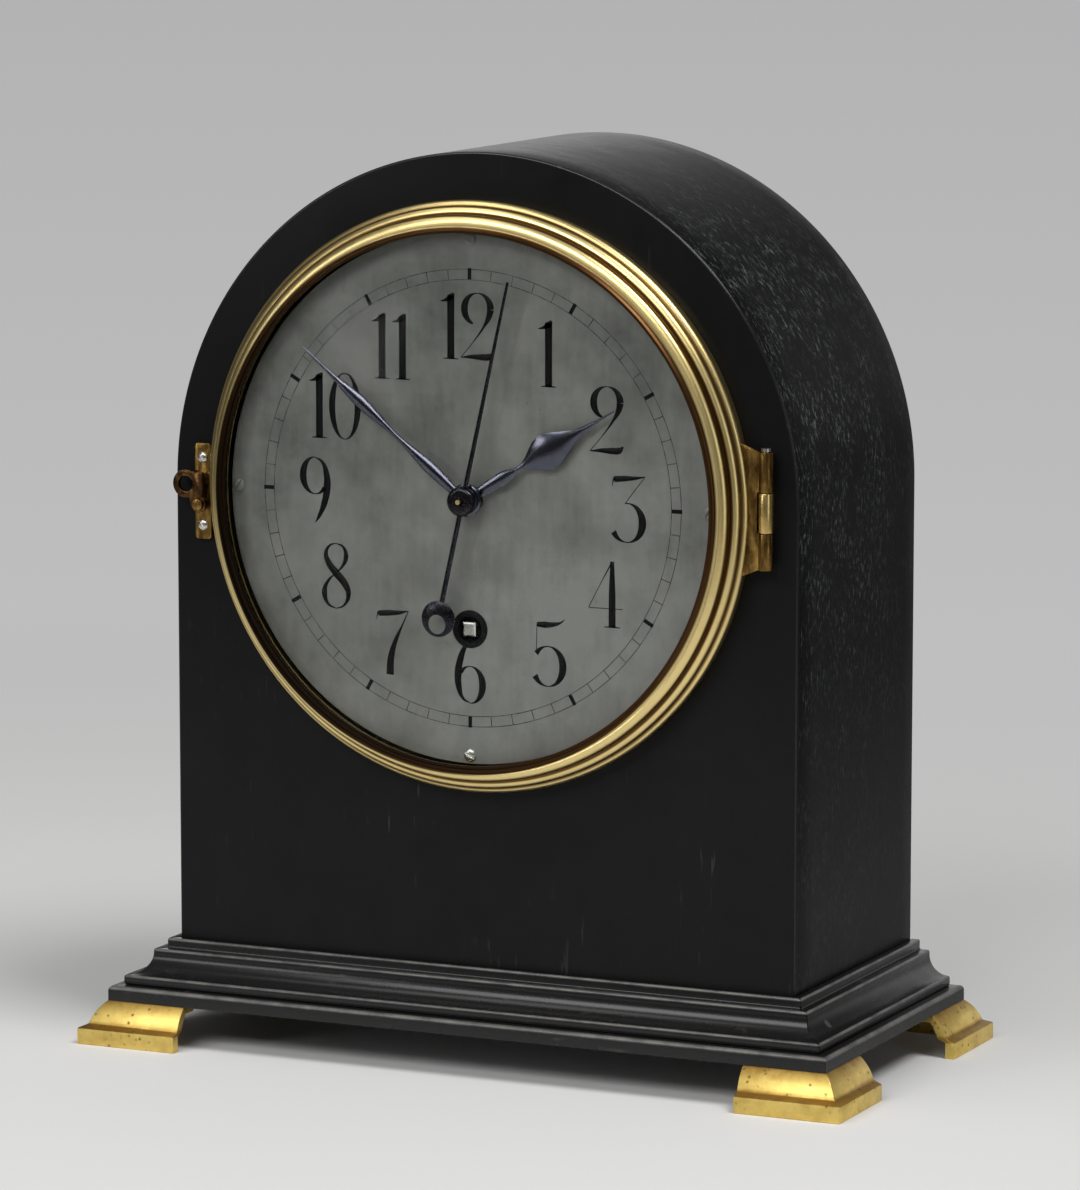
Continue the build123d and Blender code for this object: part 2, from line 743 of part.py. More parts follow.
with BuildPart() as foot_screws:
    with BuildSketch(Plane.XY.offset(gusset_under - foot_screw_head_height)):
        with Locations(*foot_spots):
            Circle(foot_screw_head_radius)
    extrude(amount=foot_screw_head_height)
    with BuildSketch(Plane.XY.offset(gusset_under)):
        with Locations(*foot_spots):
            Circle(foot_screw_radius)
    extrude(amount=foot_web + foot_screw_bite)
save(foot_screws, "foot_screws")

# Ebonised ring that carries the dial
with BuildPart() as dial_mount_ring:
    turned((0, 0), [(mount_ring_radius, dial_back, case_front)])
    drilled([(0, 0)], dial_hole_radius, dial_back, case_front)
    drilled(dial_screw_spots, dial_screw_radius + seat, dial_back, case_front)
save(dial_mount_ring, "dial_mount_ring")

with BuildPart() as dial_plate:
    turned((0, 0), [(dial_radius, dial_front, dial_back)])
    drilled([(0, 0)], hour_pipe_radius + free, dial_front, dial_back)
    drilled([barrel_spot], winding_hole_radius, dial_front, dial_back)
    drilled(dial_screw_spots, dial_screw_radius + seat, dial_front, dial_back)
save(dial_plate, "dial_plate")

with BuildPart() as dial_screws:
    for spot in dial_screw_spots:
        turned(spot, [(dial_screw_head_radius, dial_front - dial_screw_head_height, dial_front),
                      (dial_screw_radius, dial_front, dial_front + dial_screw_length)])
save(dial_screws, "dial_screws")

# Posts behind the dial that carry the movement
with BuildPart() as dial_feet:
    for spot in dial_foot_spots:
        turned(spot, [(dial_foot_radius, dial_back, front_plate_front),
                      (dial_foot_tenon, front_plate_front, front_plate_back)])
save(dial_feet, "dial_feet")

def on_sphere(sphere, radius):
    """Point of the glass section at a radius from the dial axis."""
    return (radius, glass_centre + sqrt(sphere**2 - radius**2))


def glass_seat(radius):
    """Height of the bezel's seat in front of the glass at a radius."""
    return on_sphere(glass_sphere_radius, radius)[1] + seat


# Bezel ring: two beads on the slope between the outer nosing and the front lip
with BuildPart() as bezel_ring:
    with BuildSketch(section_plane()):
        with BuildLine():
            Polyline((bezel_lip_radius, bezel_height), (bezel_lip_radius, glass_seat(bezel_lip_radius)),
                     (glass_rebate_radius, glass_seat(glass_rebate_radius)),
                     (glass_rebate_radius, rebate_back),
                     (bezel_inner_radius, rebate_back), (bezel_inner_radius, bezel_back_gap),
                     (nosing_root, bezel_back_gap), (nosing_root, nosing_foot))
            ThreePointArc((nosing_root, nosing_foot), (bezel_outer_radius, nosing_height), nosing_inner)
            ThreePointArc(nosing_inner, outer_bead_peak, groove_outer)
            Line(groove_outer, groove_inner)
            ThreePointArc(groove_inner, inner_bead_peak, cove_outer)
            ThreePointArc(cove_outer, cove_middle, lip_outer)
            Polyline(lip_outer, lip_corner, (bezel_lip_radius, bezel_height))
        make_face()
    revolve(axis=dial_axis)
save(bezel_ring, "bezel_ring")

# Convex glass in the rebate and the ring that holds it
with BuildPart() as bezel_glass:
    with BuildSketch(section_plane()):
        with BuildLine():
            ThreePointArc(on_sphere(glass_sphere_radius, 0), on_sphere(glass_sphere_radius, glass_radius / 2),
                          on_sphere(glass_sphere_radius, glass_radius))
            Line(on_sphere(glass_sphere_radius, glass_radius), on_sphere(glass_back_radius, glass_radius))
            ThreePointArc(on_sphere(glass_back_radius, glass_radius),
                          on_sphere(glass_back_radius, glass_radius / 2), on_sphere(glass_back_radius, 0))
            Line(on_sphere(glass_back_radius, 0), on_sphere(glass_sphere_radius, 0))
        make_face()
    revolve(axis=dial_axis)
save(bezel_glass, "bezel_glass")

glass_back_rim = on_sphere(glass_back_radius, glass_radius)[1]
with BuildPart() as glass_retainer:
    with BuildSketch(section_plane()):
        with Locations((glass_rebate_radius - seat - retainer_width / 2,
                        glass_back_rim - seat - retainer_thickness / 2)):
            Rectangle(retainer_width, retainer_thickness)
    revolve(axis=dial_axis)
save(glass_retainer, "glass_retainer")

# Bezel hinge: the flared leaf is soldered to the bezel, the middle knuckle has a tang in the front board
hinge_axis_y = case_front - hinge_axis_height


def knuckle(x, y, radius, bottom, top):
    """Upright cylinder of a hinge barrel, heights measured from the dial centre."""
    with BuildSketch(Plane.XY.offset(dial_height + bottom)) as face:
        with Locations((x, y)):
            Circle(radius)
    extrude(face.sketch, amount=top - bottom)


def bore(x, y, radius, bottom, top):
    """Upright hole along a hinge barrel."""
    with BuildSketch(Plane.XY.offset(dial_height + bottom)) as face:
        with Locations((x, y)):
            Circle(radius)
    extrude(face.sketch, amount=top - bottom, mode=Mode.SUBTRACT)


leaf_root_x = bezel_inner_radius
leaf_edge_x = hinge_axis_x - hinge_barrel_radius
with BuildPart() as hinge_leaf_bezel:
    with BuildSketch(dial_plane(hinge_axis_y + hinge_leaf_thickness / 2)):
        Polygon((leaf_root_x, hinge_top + hinge_flare), (leaf_edge_x, hinge_top), (hinge_axis_x, hinge_top),
                (hinge_axis_x, hinge_bottom), (leaf_edge_x, hinge_bottom),
                (leaf_root_x, hinge_bottom - hinge_flare), align=None)
    extrude(amount=hinge_leaf_thickness)
    with BuildSketch(dial_plane(hinge_axis_y + hinge_barrel_radius + free)):
        with Locations((hinge_axis_x, hinge_slot_middle)):
            Rectangle(2 * (hinge_barrel_radius + free), hinge_middle_top - hinge_middle_bottom)
    extrude(amount=2 * (hinge_barrel_radius + free), mode=Mode.SUBTRACT)
    knuckle(hinge_axis_x, hinge_axis_y, hinge_barrel_radius, hinge_middle_top, hinge_top)
    knuckle(hinge_axis_x, hinge_axis_y, hinge_barrel_radius, hinge_bottom, hinge_middle_bottom)
    bore(hinge_axis_x, hinge_axis_y, hinge_pin_radius + running, hinge_bottom, hinge_top)
    add(bezel_ring.part, mode=Mode.SUBTRACT)
    with BuildSketch(section_plane()):
        Rectangle(bezel_outer_radius - solder_depth, bezel_height, align=(Align.MIN, Align.MIN))
    revolve(axis=dial_axis, mode=Mode.SUBTRACT)
save(hinge_leaf_bezel, "hinge_leaf_bezel")

with BuildPart() as hinge_leaf_case:
    knuckle(hinge_axis_x, hinge_axis_y, hinge_barrel_radius, hinge_middle_bottom + end_shake,
            hinge_middle_top - end_shake)
    with BuildSketch(dial_plane(case_front + hinge_tang_depth)):
        with Locations((hinge_axis_x, hinge_slot_middle)):
            Rectangle(hinge_leaf_thickness, hinge_middle_top - hinge_middle_bottom - 2 * end_shake)
    extrude(amount=hinge_tang_depth + hinge_axis_height)
    bore(hinge_axis_x, hinge_axis_y, hinge_pin_radius + seat, hinge_middle_bottom, hinge_middle_top)
save(hinge_leaf_case, "hinge_leaf_case")

with BuildPart() as hinge_pin:
    knuckle(hinge_axis_x, hinge_axis_y, hinge_pin_radius, hinge_bottom, hinge_top + end_shake)
    knuckle(hinge_axis_x, hinge_axis_y, pin_head_radius, hinge_top + end_shake,
            hinge_top + end_shake + pin_head_height)
save(hinge_pin, "hinge_pin")

# Latch on the left: plate with its pivot stud, hook with a finger loop, tongue on the bezel
hook_back = case_front - latch_plate_thickness - catch_thickness - free
hook_front = hook_back - latch_hook_thickness
latch_pivot = (latch_plate_x, latch_pivot_z)
latch_loop = (latch_plate_x - latch_loop_offset, latch_loop_z)
with BuildPart() as latch_plate:
    with BuildSketch(dial_plane(case_front)):
        with Locations((latch_plate_x, (latch_plate_top + latch_plate_bottom) / 2)):
            RectangleRounded(latch_plate_width, latch_plate_top - latch_plate_bottom, latch_plate_corner)
    extrude(amount=latch_plate_thickness)
    drilled(latch_screw_spots, latch_screw_radius + seat, case_front - latch_plate_thickness, case_front)
    turned(latch_pivot, [(latch_stud_head_radius, hook_back + end_shake, case_front - latch_plate_thickness),
                         (latch_pivot_radius, hook_front - end_shake, hook_back + end_shake),
                         (latch_stud_head_radius, hook_front - end_shake - latch_stud_head_height,
                          hook_front - end_shake)])
save(latch_plate, "latch_plate")

with BuildPart() as latch_screws:
    for spot in latch_screw_spots:
        turned(spot, [(latch_screw_head_radius, case_front - latch_plate_thickness - latch_screw_head_height,
                       case_front - latch_plate_thickness),
                      (latch_screw_radius, case_front - latch_plate_thickness,
                       case_front + latch_screw_length)])
save(latch_screws, "latch_screws")

catch_tip = -(bezel_outer_radius + catch_reach)
nose_right = catch_tip - free
with BuildPart() as latch_hook:
    with BuildSketch(dial_plane(hook_back)):
        with Locations(latch_pivot):
            Circle(hook_boss_radius)
        with Locations(latch_loop):
            Circle(latch_loop_radius)
        with BuildLine():
            Polyline((latch_plate_x - hook_boss_radius, latch_pivot_z),
                     (latch_plate_x + hook_neck, latch_pivot_z),
                     (nose_right, catch_bottom), (nose_right, catch_top),
                     (nose_right - nose_width, catch_top), latch_loop, close=True)
        make_face()
        with Locations(latch_loop):
            Circle(latch_loop_hole, mode=Mode.SUBTRACT)
        with Locations(latch_pivot):
            Circle(latch_pivot_radius + running, mode=Mode.SUBTRACT)
    extrude(amount=latch_hook_thickness)
save(latch_hook, "latch_hook")

with BuildPart() as bezel_catch:
    with BuildSketch(dial_plane(case_front - latch_plate_thickness)):
        with Locations((catch_tip, (catch_top + catch_bottom) / 2)):
            Rectangle(bezel_outer_radius - bezel_inner_radius + catch_reach, catch_top - catch_bottom,
                      align=(Align.MIN, Align.CENTER))
    extrude(amount=catch_thickness)
    add(bezel_ring.part, mode=Mode.SUBTRACT)
    with BuildSketch(section_plane()):
        Rectangle(bezel_outer_radius - solder_depth, bezel_height, align=(Align.MIN, Align.MIN))
    revolve(axis=dial_axis, mode=Mode.SUBTRACT)
save(bezel_catch, "bezel_catch")

# Back door, hung on two butt hinges at its right edge seen from the front
door_back = case_back
door_front = door_back - door_thickness
knob_neck = door_thickness + knob_neck_length
knob_end = door_thickness + knob_reach
knob_x = -(door_radius - knob_inset)
knob_z = -door_drop / 2
with BuildPart() as back_door:
    extrude(arch_face(door_back, door_radius, door_drop), amount=door_thickness)
    drilled([(knob_x, knob_z)], knob_stem_radius + seat, door_front, door_back)
save(back_door, "back_door")

with BuildPart() as back_door_knob:
    with BuildSketch(Plane(origin=(knob_x, door_front, dial_height + knob_z), x_dir=(1, 0, 0),
                           z_dir=(0, 0, 1))):
        with BuildLine():
            Polyline((knob_stem_radius, knob_end), (0, knob_end), (0, 0), (knob_stem_radius, 0),
                     (knob_stem_radius, knob_neck))
            ThreePointArc((knob_stem_radius, knob_neck), (knob_radius, (knob_neck + knob_end) / 2),
                          (knob_stem_radius, knob_end))
        make_face()
    revolve(axis=Axis((knob_x, 0, dial_height + knob_z), (0, 1, 0)))
save(back_door_knob, "back_door_knob")

back_axis_x = opening_radius
back_axis_y = case_back + back_leaf_thickness / 2
back_hinge_heights = [-door_drop / 2 - back_hinge_spread, -door_drop / 2 + back_hinge_spread]
with BuildPart() as back_hinge_frame_leaves:
    for height in back_hinge_heights:
        with BuildSketch(dial_plane(case_back + back_leaf_thickness)):
            with Locations((back_axis_x, height)):
                Rectangle(back_leaf_width, 3 * back_knuckle, align=(Align.MIN, Align.CENTER))
        extrude(amount=back_leaf_thickness)
        with BuildSketch(dial_plane(case_back + back_leaf_thickness)):
            for way in (-1, 1):
                with Locations((back_axis_x, height + way * back_knuckle)):
                    Rectangle(2 * (back_barrel_radius + free), back_knuckle + 2 * end_shake)
        extrude(amount=back_leaf_thickness, mode=Mode.SUBTRACT)
        knuckle(back_axis_x, back_axis_y + back_barrel_radius, back_barrel_radius,
                height - back_knuckle / 2 + end_shake, height + back_knuckle / 2 - end_shake)
        knuckle(back_axis_x, back_axis_y + back_barrel_radius, back_pin_radius,
                height - 1.5 * back_knuckle, height + 1.5 * back_knuckle)
save(back_hinge_frame_leaves, "back_hinge_frame_leaves")

with BuildPart() as back_hinge_door_leaves:
    for height in back_hinge_heights:
        with BuildSketch(dial_plane(case_back + back_leaf_thickness)):
            with Locations((back_axis_x, height)):
                Rectangle(back_leaf_width, 3 * back_knuckle, align=(Align.MAX, Align.CENTER))
        extrude(amount=back_leaf_thickness)
        with BuildSketch(dial_plane(case_back + back_leaf_thickness)):
            with Locations((back_axis_x, height)):
                Rectangle(2 * (back_barrel_radius + free), back_knuckle)
        extrude(amount=back_leaf_thickness, mode=Mode.SUBTRACT)
        for way in (-1, 1):
            knuckle(back_axis_x, back_axis_y + back_barrel_radius, back_barrel_radius,
                    height + way * back_knuckle - back_knuckle / 2,
                    height + way * back_knuckle + back_knuckle / 2)
            bore(back_axis_x, back_axis_y + back_barrel_radius, back_pin_radius + running,
                 height + way * back_knuckle - back_knuckle / 2,
                 height + way * back_knuckle + back_knuckle / 2)
save(back_hinge_door_leaves, "back_hinge_door_leaves")

# Turn button that keeps the back door shut, at rest turned clear of the door
button_back = case_back + end_shake + button_thickness
with BuildPart() as turn_button:
    with BuildSketch(dial_plane(button_back)):
        with Locations(button_spot):
            SlotOverall(button_length, button_width, rotation=90)
            Circle(button_screw_radius + running, mode=Mode.SUBTRACT)
    extrude(amount=button_thickness)
save(turn_button, "turn_button")

with BuildPart() as turn_button_screw:
    turned(button_spot, [(button_screw_radius, case_back - button_screw_length, button_back + end_shake),
                         (button_screw_head, button_back + end_shake,
                          button_back + end_shake + button_screw_head_height)])
save(turn_button_screw, "turn_button_screw")

# Tooth phases, each wheel in mesh at rest with the one before it
great_phase = 0.0
intermediate_pinion_phase = mesh_phase(direction(barrel_spot, intermediate_spot), great_teeth, great_phase,
                                       intermediate_pinion_leaves)
intermediate_phase = 0.0
centre_pinion_phase = mesh_phase(direction(intermediate_spot, centre), intermediate_teeth,
                                 intermediate_phase, centre_pinion_leaves)
centre_phase = 0.0
third_pinion_phase = mesh_phase(direction(centre, third_spot), centre_teeth, centre_phase,
                                third_pinion_leaves)
third_phase = 0.0
fourth_pinion_phase = mesh_phase(direction(third_spot, centre), third_teeth, third_phase,
                                 fourth_pinion_leaves)
fourth_phase = 0.0
escape_pinion_phase = mesh_phase(direction(centre, escape_spot), fourth_teeth, fourth_phase,
                                 escape_pinion_leaves)
cannon_phase = 0.0
minute_wheel_phase = mesh_phase(direction(centre, minute_spot), cannon_leaves, cannon_phase,
                                minute_wheel_teeth)
minute_pinion_phase = 0.0
hour_wheel_phase = mesh_phase(direction(minute_spot, centre), minute_pinion_leaves, minute_pinion_phase,
                              hour_wheel_teeth)

def plate_face(back):
    """Rounded outline of a movement plate."""
    with BuildSketch(dial_plane(back)) as face:
        with Locations((0, plate_middle)):
            RectangleRounded(2 * plate_half_width, plate_top - plate_bottom, plate_corner)
    return face.sketch


with BuildPart() as front_plate:
    extrude(plate_face(front_plate_back), amount=plate_thickness)
    drilled(pillar_spots, tenon_radius + seat, front_plate_front, front_plate_back)
    drilled(dial_foot_spots, dial_foot_tenon + seat, front_plate_front, front_plate_back)
    drilled([centre], centre_tube_radius + running, front_plate_front, front_plate_back)
    drilled([barrel_spot], front_pivot_radius + running, front_plate_front, front_plate_back)
    drilled([intermediate_spot, third_spot], pivot_radius + running, front_plate_front, front_plate_back)
    turned(minute_spot, [(stud_radius, hour_wheel_front - leaf_overrun - stud_overrun, front_plate_front)])
    turned(click_spot, [(stud_radius, ratchet_front - stud_overrun, front_plate_front)])
save(front_plate, "front_plate")

with BuildPart() as back_plate:
    extrude(plate_face(back_plate_back), amount=plate_thickness)
    drilled(pillar_spots + post_spots, tenon_radius + seat, back_plate_front, back_plate_back)
    drilled([centre], centre_tube_radius + running, back_plate_front, back_plate_back)
    drilled([barrel_spot], back_pivot_radius + running, back_plate_front, back_plate_back)
    drilled([intermediate_spot, escape_spot, lever_spot, balance_spot], pivot_radius + running,
            back_plate_front, back_plate_back)
    drilled([third_spot], arbor_radius + free, back_plate_front, back_plate_back)
save(back_plate, "back_plate")

# Pillars between the plates, posts behind them, and their nuts
with BuildPart() as plate_pillars:
    for spot in pillar_spots:
        turned(spot, [(pillar_radius, front_plate_back, back_plate_front),
                      (tenon_radius, front_plate_front - nut_height, front_plate_back),
                      (tenon_radius, back_plate_front, back_plate_back + nut_height)])
    for spot in post_spots:
        turned(spot, [(post_radius, back_plate_back, escapement_front),
                      (tenon_radius, back_plate_front, back_plate_back),
                      (tenon_radius, escapement_front, escapement_back)])
save(plate_pillars, "plate_pillars")

with BuildPart() as plate_nuts:
    for back in (front_plate_front, back_plate_back + nut_height):
        with BuildSketch(dial_plane(back)):
            with Locations(*pillar_spots):
                RegularPolygon(nut_radius, 6)
                Circle(tenon_radius + seat, mode=Mode.SUBTRACT)
        extrude(amount=nut_height)
save(plate_nuts, "plate_nuts")

with BuildPart() as escapement_plate:
    with BuildSketch(dial_plane(escapement_back)):
        with Locations(*post_spots):
            Circle(post_radius + post_seat)
        with Locations(third_spot, balance_spot):
            Circle(post_radius + pivot_seat)
        make_hull()
    extrude(amount=escapement_plate_thickness)
    drilled(post_spots, tenon_radius + seat, escapement_front, escapement_back)
    drilled([third_spot, centre, escape_spot, lever_spot], pivot_radius + running, escapement_front,
            escapement_back)
    drilled([balance_spot], staff_radius + free, escapement_front, escapement_back)
save(escapement_plate, "escapement_plate")

# Barrel with its great wheel, mainspring and cover, on the winding arbor
barrel_drum_radius = great_module * great_teeth / 2 - drum_inset
drum_bore = barrel_drum_radius - barrel_wall
with BuildPart() as barrel:
    toothed_layer(barrel_spot, great_teeth, great_module, great_phase, wheel_tooth, great_front, great_back)
    turned(barrel_spot, [(barrel_drum_radius, great_back, drum_back)])
    turned(barrel_spot, [(drum_bore, great_back, drum_back)], Mode.SUBTRACT)
    turned(barrel_spot, [(barrel_arbor_radius + running, great_front, great_back)], Mode.SUBTRACT)
save(barrel, "barrel")

cover_front = drum_back - barrel_wall
with BuildPart() as barrel_cover:
    turned(barrel_spot, [(drum_bore - seat, cover_front, drum_back)])
    drilled([barrel_spot], barrel_arbor_radius + running, cover_front, drum_back)
save(barrel_cover, "barrel_cover")

mainspring_start = barrel_arbor_radius + free + mainspring_strip / 2
mainspring_end = drum_bore - seat - mainspring_strip / 2
mainspring_pitch = (mainspring_end - mainspring_start) / mainspring_turns
with BuildPart() as mainspring:
    extrude(spiral_face(dial_plane(cover_front - free), barrel_spot, mainspring_start, mainspring_pitch,
                        mainspring_turns, mainspring_strip), amount=cover_front - great_back - 2 * free)
save(mainspring, "mainspring")
print("mainspring gap between turns", round(mainspring_pitch - mainspring_strip, 2), "mm")

square_front = dial_front - winding_square_proud
with BuildPart() as barrel_arbor:
    turned(barrel_spot, [(barrel_arbor_radius, front_plate_back + end_shake, back_plate_front - end_shake),
                         (front_pivot_radius, front_plate_front, front_plate_back + end_shake),
                         (back_pivot_radius, back_plate_front - end_shake, back_plate_back)])
    with BuildSketch(dial_plane(front_plate_front)):
        with Locations(barrel_spot):
            Rectangle(winding_square, winding_square)
    extrude(amount=front_plate_front - square_front)
    chamfer(faces().sort_by(Axis.Y)[0].edges(), square_chamfer)
save(barrel_arbor, "barrel_arbor")


def ratchet_outline(spot, teeth, tip, root):
    """Saw teeth: a radial face and a long back to each tooth."""
    corners = []
    for tooth in range(teeth):
        corners.append(polar(spot, root, tooth * tau / teeth))
        corners.append(polar(spot, tip, tooth * tau / teeth))
    Polyline(*corners, close=True)


with BuildPart() as ratchet_wheel:
    with BuildSketch(dial_plane(ratchet_back)):
        with BuildLine():
            ratchet_outline(barrel_spot, ratchet_teeth, ratchet_radius, ratchet_radius - ratchet_tooth_depth)
        make_face()
        with Locations(barrel_spot):
            Rectangle(winding_square + 2 * seat, winding_square + 2 * seat, mode=Mode.SUBTRACT)
    extrude(amount=ratchet_thickness)
save(ratchet_wheel, "ratchet_wheel")

# Click, held just clear of the ratchet tips, and its spring
click_tip_angle = radians(click_tip_direction)
click_tip = polar(barrel_spot, ratchet_radius + free, click_tip_angle)
click_heel = polar(barrel_spot, ratchet_radius + free + click_nose, click_tip_angle)
click_line = direction(barrel_spot, click_spot)
with BuildPart() as click:
    with BuildSketch(dial_plane(ratchet_back)):
        with Locations(click_spot):
            Circle(click_boss)
        with BuildLine():
            Polyline(polar(click_spot, -click_flank, click_line), click_tip, click_heel,
                     polar(click_spot, click_flank, click_line), close=True)
        make_face()
        with Locations(click_spot):
            Circle(stud_radius + running, mode=Mode.SUBTRACT)
    extrude(amount=ratchet_thickness)
save(click, "click")


def bar(start, end, width):
    """Straight flat bar between two points of a sketch."""
    with Locations(((start[0] + end[0]) / 2, (start[1] + end[1]) / 2)):
        Rectangle(hypot(end[0] - start[0], end[1] - start[1]), width,
                  rotation=direction(start, end) * 180 / pi)


click_spring_foot = (barrel_spot[0] + click_spring_from[0], barrel_spot[1] + click_spring_from[1])
click_spring_end = (barrel_spot[0] + click_spring_to[0], barrel_spot[1] + click_spring_to[1])
with BuildPart() as click_spring:
    with BuildSketch(dial_plane(front_plate_front)):
        with Locations(click_spring_foot):
            Circle(click_spring_foot_radius)
        bar(click_spring_foot, click_spring_end, click_spring_strip)
    extrude(amount=ratchet_thickness + end_shake)
save(click_spring, "click_spring")

# Going train between the plates
with BuildPart() as intermediate_wheel:
    turned(intermediate_spot, [(arbor_radius, front_plate_back + end_shake, back_plate_front - end_shake),
                               (pivot_radius, front_plate_front, front_plate_back + end_shake),
                               (pivot_radius, back_plate_front - end_shake, back_plate_back)])
    toothed_layer(intermediate_spot, intermediate_pinion_leaves, great_module, intermediate_pinion_phase,
                  pinion_leaf, great_front - leaf_overrun, great_back + leaf_overrun)
    extrude(wheel_face(intermediate_spot, intermediate_teeth, intermediate_module, intermediate_phase,
                       arbor_radius, intermediate_front + wheel_thickness), amount=wheel_thickness)
save(intermediate_wheel, "intermediate_wheel")

tube_front = minute_hand_front - pipe_proud
tube_bore = fourth_arbor_radius + running
with BuildPart() as centre_wheel:
    turned(centre, [(centre_tube_radius, tube_front, back_plate_back)])
    toothed_layer(centre, centre_pinion_leaves, intermediate_module, centre_pinion_phase, pinion_leaf,
                  intermediate_front - leaf_overrun, intermediate_front + wheel_thickness + leaf_overrun)
    extrude(wheel_face(centre, centre_teeth, centre_module, centre_phase, centre_tube_radius,
                       centre_front + wheel_thickness), amount=wheel_thickness)
    drilled([centre], tube_bore, tube_front, back_plate_back)
save(centre_wheel, "centre_wheel")

with BuildPart() as third_wheel:
    turned(third_spot, [(arbor_radius, front_plate_back + end_shake, escapement_front - end_shake),
                        (pivot_radius, front_plate_front, front_plate_back + end_shake),
                        (pivot_radius, escapement_front - end_shake, escapement_back)])
    toothed_layer(third_spot, third_pinion_leaves, centre_module, third_pinion_phase, pinion_leaf,
                  centre_front - leaf_overrun, centre_front + wheel_thickness + leaf_overrun)
    extrude(wheel_face(third_spot, third_teeth, third_module, third_phase, arbor_radius,
                       third_front + wheel_thickness), amount=wheel_thickness)
save(third_wheel, "third_wheel")

seconds_boss_front = dial_front - seconds_hand_level - seconds_boss_height
seconds_tip_front = seconds_boss_front - seconds_tip_height
with BuildPart() as fourth_wheel:
    turned(centre, [(fourth_arbor_radius, seconds_tip_front, escapement_front - end_shake),
                    (pivot_radius, escapement_front - end_shake, escapement_back)])
    toothed_layer(centre, fourth_pinion_leaves, third_module, fourth_pinion_phase, pinion_leaf,
                  third_front - leaf_overrun, third_front + wheel_thickness + leaf_overrun)
    extrude(wheel_face(centre, fourth_teeth, fourth_module, fourth_phase, fourth_arbor_radius,
                       fourth_front + wheel_thickness), amount=wheel_thickness)
save(fourth_wheel, "fourth_wheel")

# Escapement: toothed escape wheel, lever with two pallet pins, balance with its spiral spring


def escape_outline(spot, teeth, tip, root):
    """Pointed escape teeth that lean forward."""
    corners = []
    for tooth in range(teeth):
        for share, radius in zip(escape_tooth, (root, tip, tip, root)):
            corners.append(polar(spot, radius, (tooth + share) * tau / teeth))
    Polyline(*corners, close=True)


with BuildPart() as escape_wheel:
    turned(escape_spot, [(escape_arbor_radius, back_plate_back + end_shake, escapement_front - end_shake),
                         (pivot_radius, back_plate_front, back_plate_back + end_shake),
                         (pivot_radius, escapement_front - end_shake, escapement_back)])
    toothed_layer(escape_spot, escape_pinion_leaves, fourth_module, escape_pinion_phase, pinion_leaf,
                  fourth_front - leaf_overrun, fourth_front + wheel_thickness + leaf_overrun)
    with BuildSketch(dial_plane(escape_front + escape_thickness)):
        with BuildLine():
            escape_outline(escape_spot, escape_teeth, escape_radius, escape_radius - escape_tooth_depth)
        make_face()
    extrude(amount=escape_thickness)
save(escape_wheel, "escape_wheel")

pallet_orbit = escape_radius + pallet_pin_radius + lever_swing_room + free
pallet_spots = [polar(escape_spot, pallet_orbit, escapement_line + way * radians(pallet_half_span))
                for way in (-1, 1)]
fork_reach = balance_distance - impulse_orbit - impulse_pin_radius - free
fork_throat = polar(lever_spot, fork_reach - fork_depth, escapement_line)
with BuildPart() as pallet_lever:
    with BuildSketch(dial_plane(lever_back)):
        with Locations(lever_spot):
            Circle(lever_boss_radius)
        with Locations(*pallet_spots):
            Circle(pallet_eye_radius)
        for spot in pallet_spots:
            bar(lever_spot, spot, lever_arm)
        bar(lever_spot, fork_throat, lever_arm)
        for way in (-1, 1):
            horn = polar(fork_throat, way * fork_half, escapement_line + pi / 2)
            bar(fork_throat, horn, fork_root)
            bar(horn, polar(horn, fork_depth, escapement_line), fork_horn)
    extrude(amount=escape_thickness)
    for spot in pallet_spots:
        turned(spot, [(pallet_pin_radius, escape_front - pallet_pin_overrun, lever_front)])
    turned(lever_spot, [(escape_arbor_radius, back_plate_back + end_shake, escapement_front - end_shake),
                        (pivot_radius, back_plate_front, back_plate_back + end_shake),
                        (pivot_radius, escapement_front - end_shake, escapement_back)])
save(pallet_lever, "pallet_lever")

roller_back = lever_front - roller_gap
roller_front = roller_back - roller_thickness
impulse_spot = polar(balance_spot, -impulse_orbit, escapement_line)
with BuildPart() as balance_wheel:
    turned(balance_spot, [(staff_radius, back_plate_back + end_shake, cock_front - end_shake),
                          (pivot_radius, back_plate_front, back_plate_back + end_shake),
                          (pivot_radius, cock_front - end_shake, cock_back),
                          (roller_radius, roller_front, roller_back)])
    turned(impulse_spot, [(impulse_pin_radius, roller_back, lever_back)])
    with BuildSketch(dial_plane(balance_front + balance_thickness)):
        with Locations(balance_spot):
            Circle(balance_radius)
            Circle(balance_radius - balance_rim, mode=Mode.SUBTRACT)
            Rectangle(2 * balance_radius - balance_rim, balance_arm)
            Circle(balance_hub_radius)
    extrude(amount=balance_thickness)
save(balance_wheel, "balance_wheel")

hairspring_start = staff_radius + free + hairspring_strip / 2
hairspring_end = hairspring_start + hairspring_turns * hairspring_pitch
with BuildPart() as hairspring:
    extrude(spiral_face(dial_plane(hairspring_front + hairspring_height), balance_spot, hairspring_start,
                        hairspring_pitch, hairspring_turns, hairspring_strip), amount=hairspring_height)
save(hairspring, "hairspring")
print("hairspring gap between turns", round(hairspring_pitch - hairspring_strip, 2), "mm")

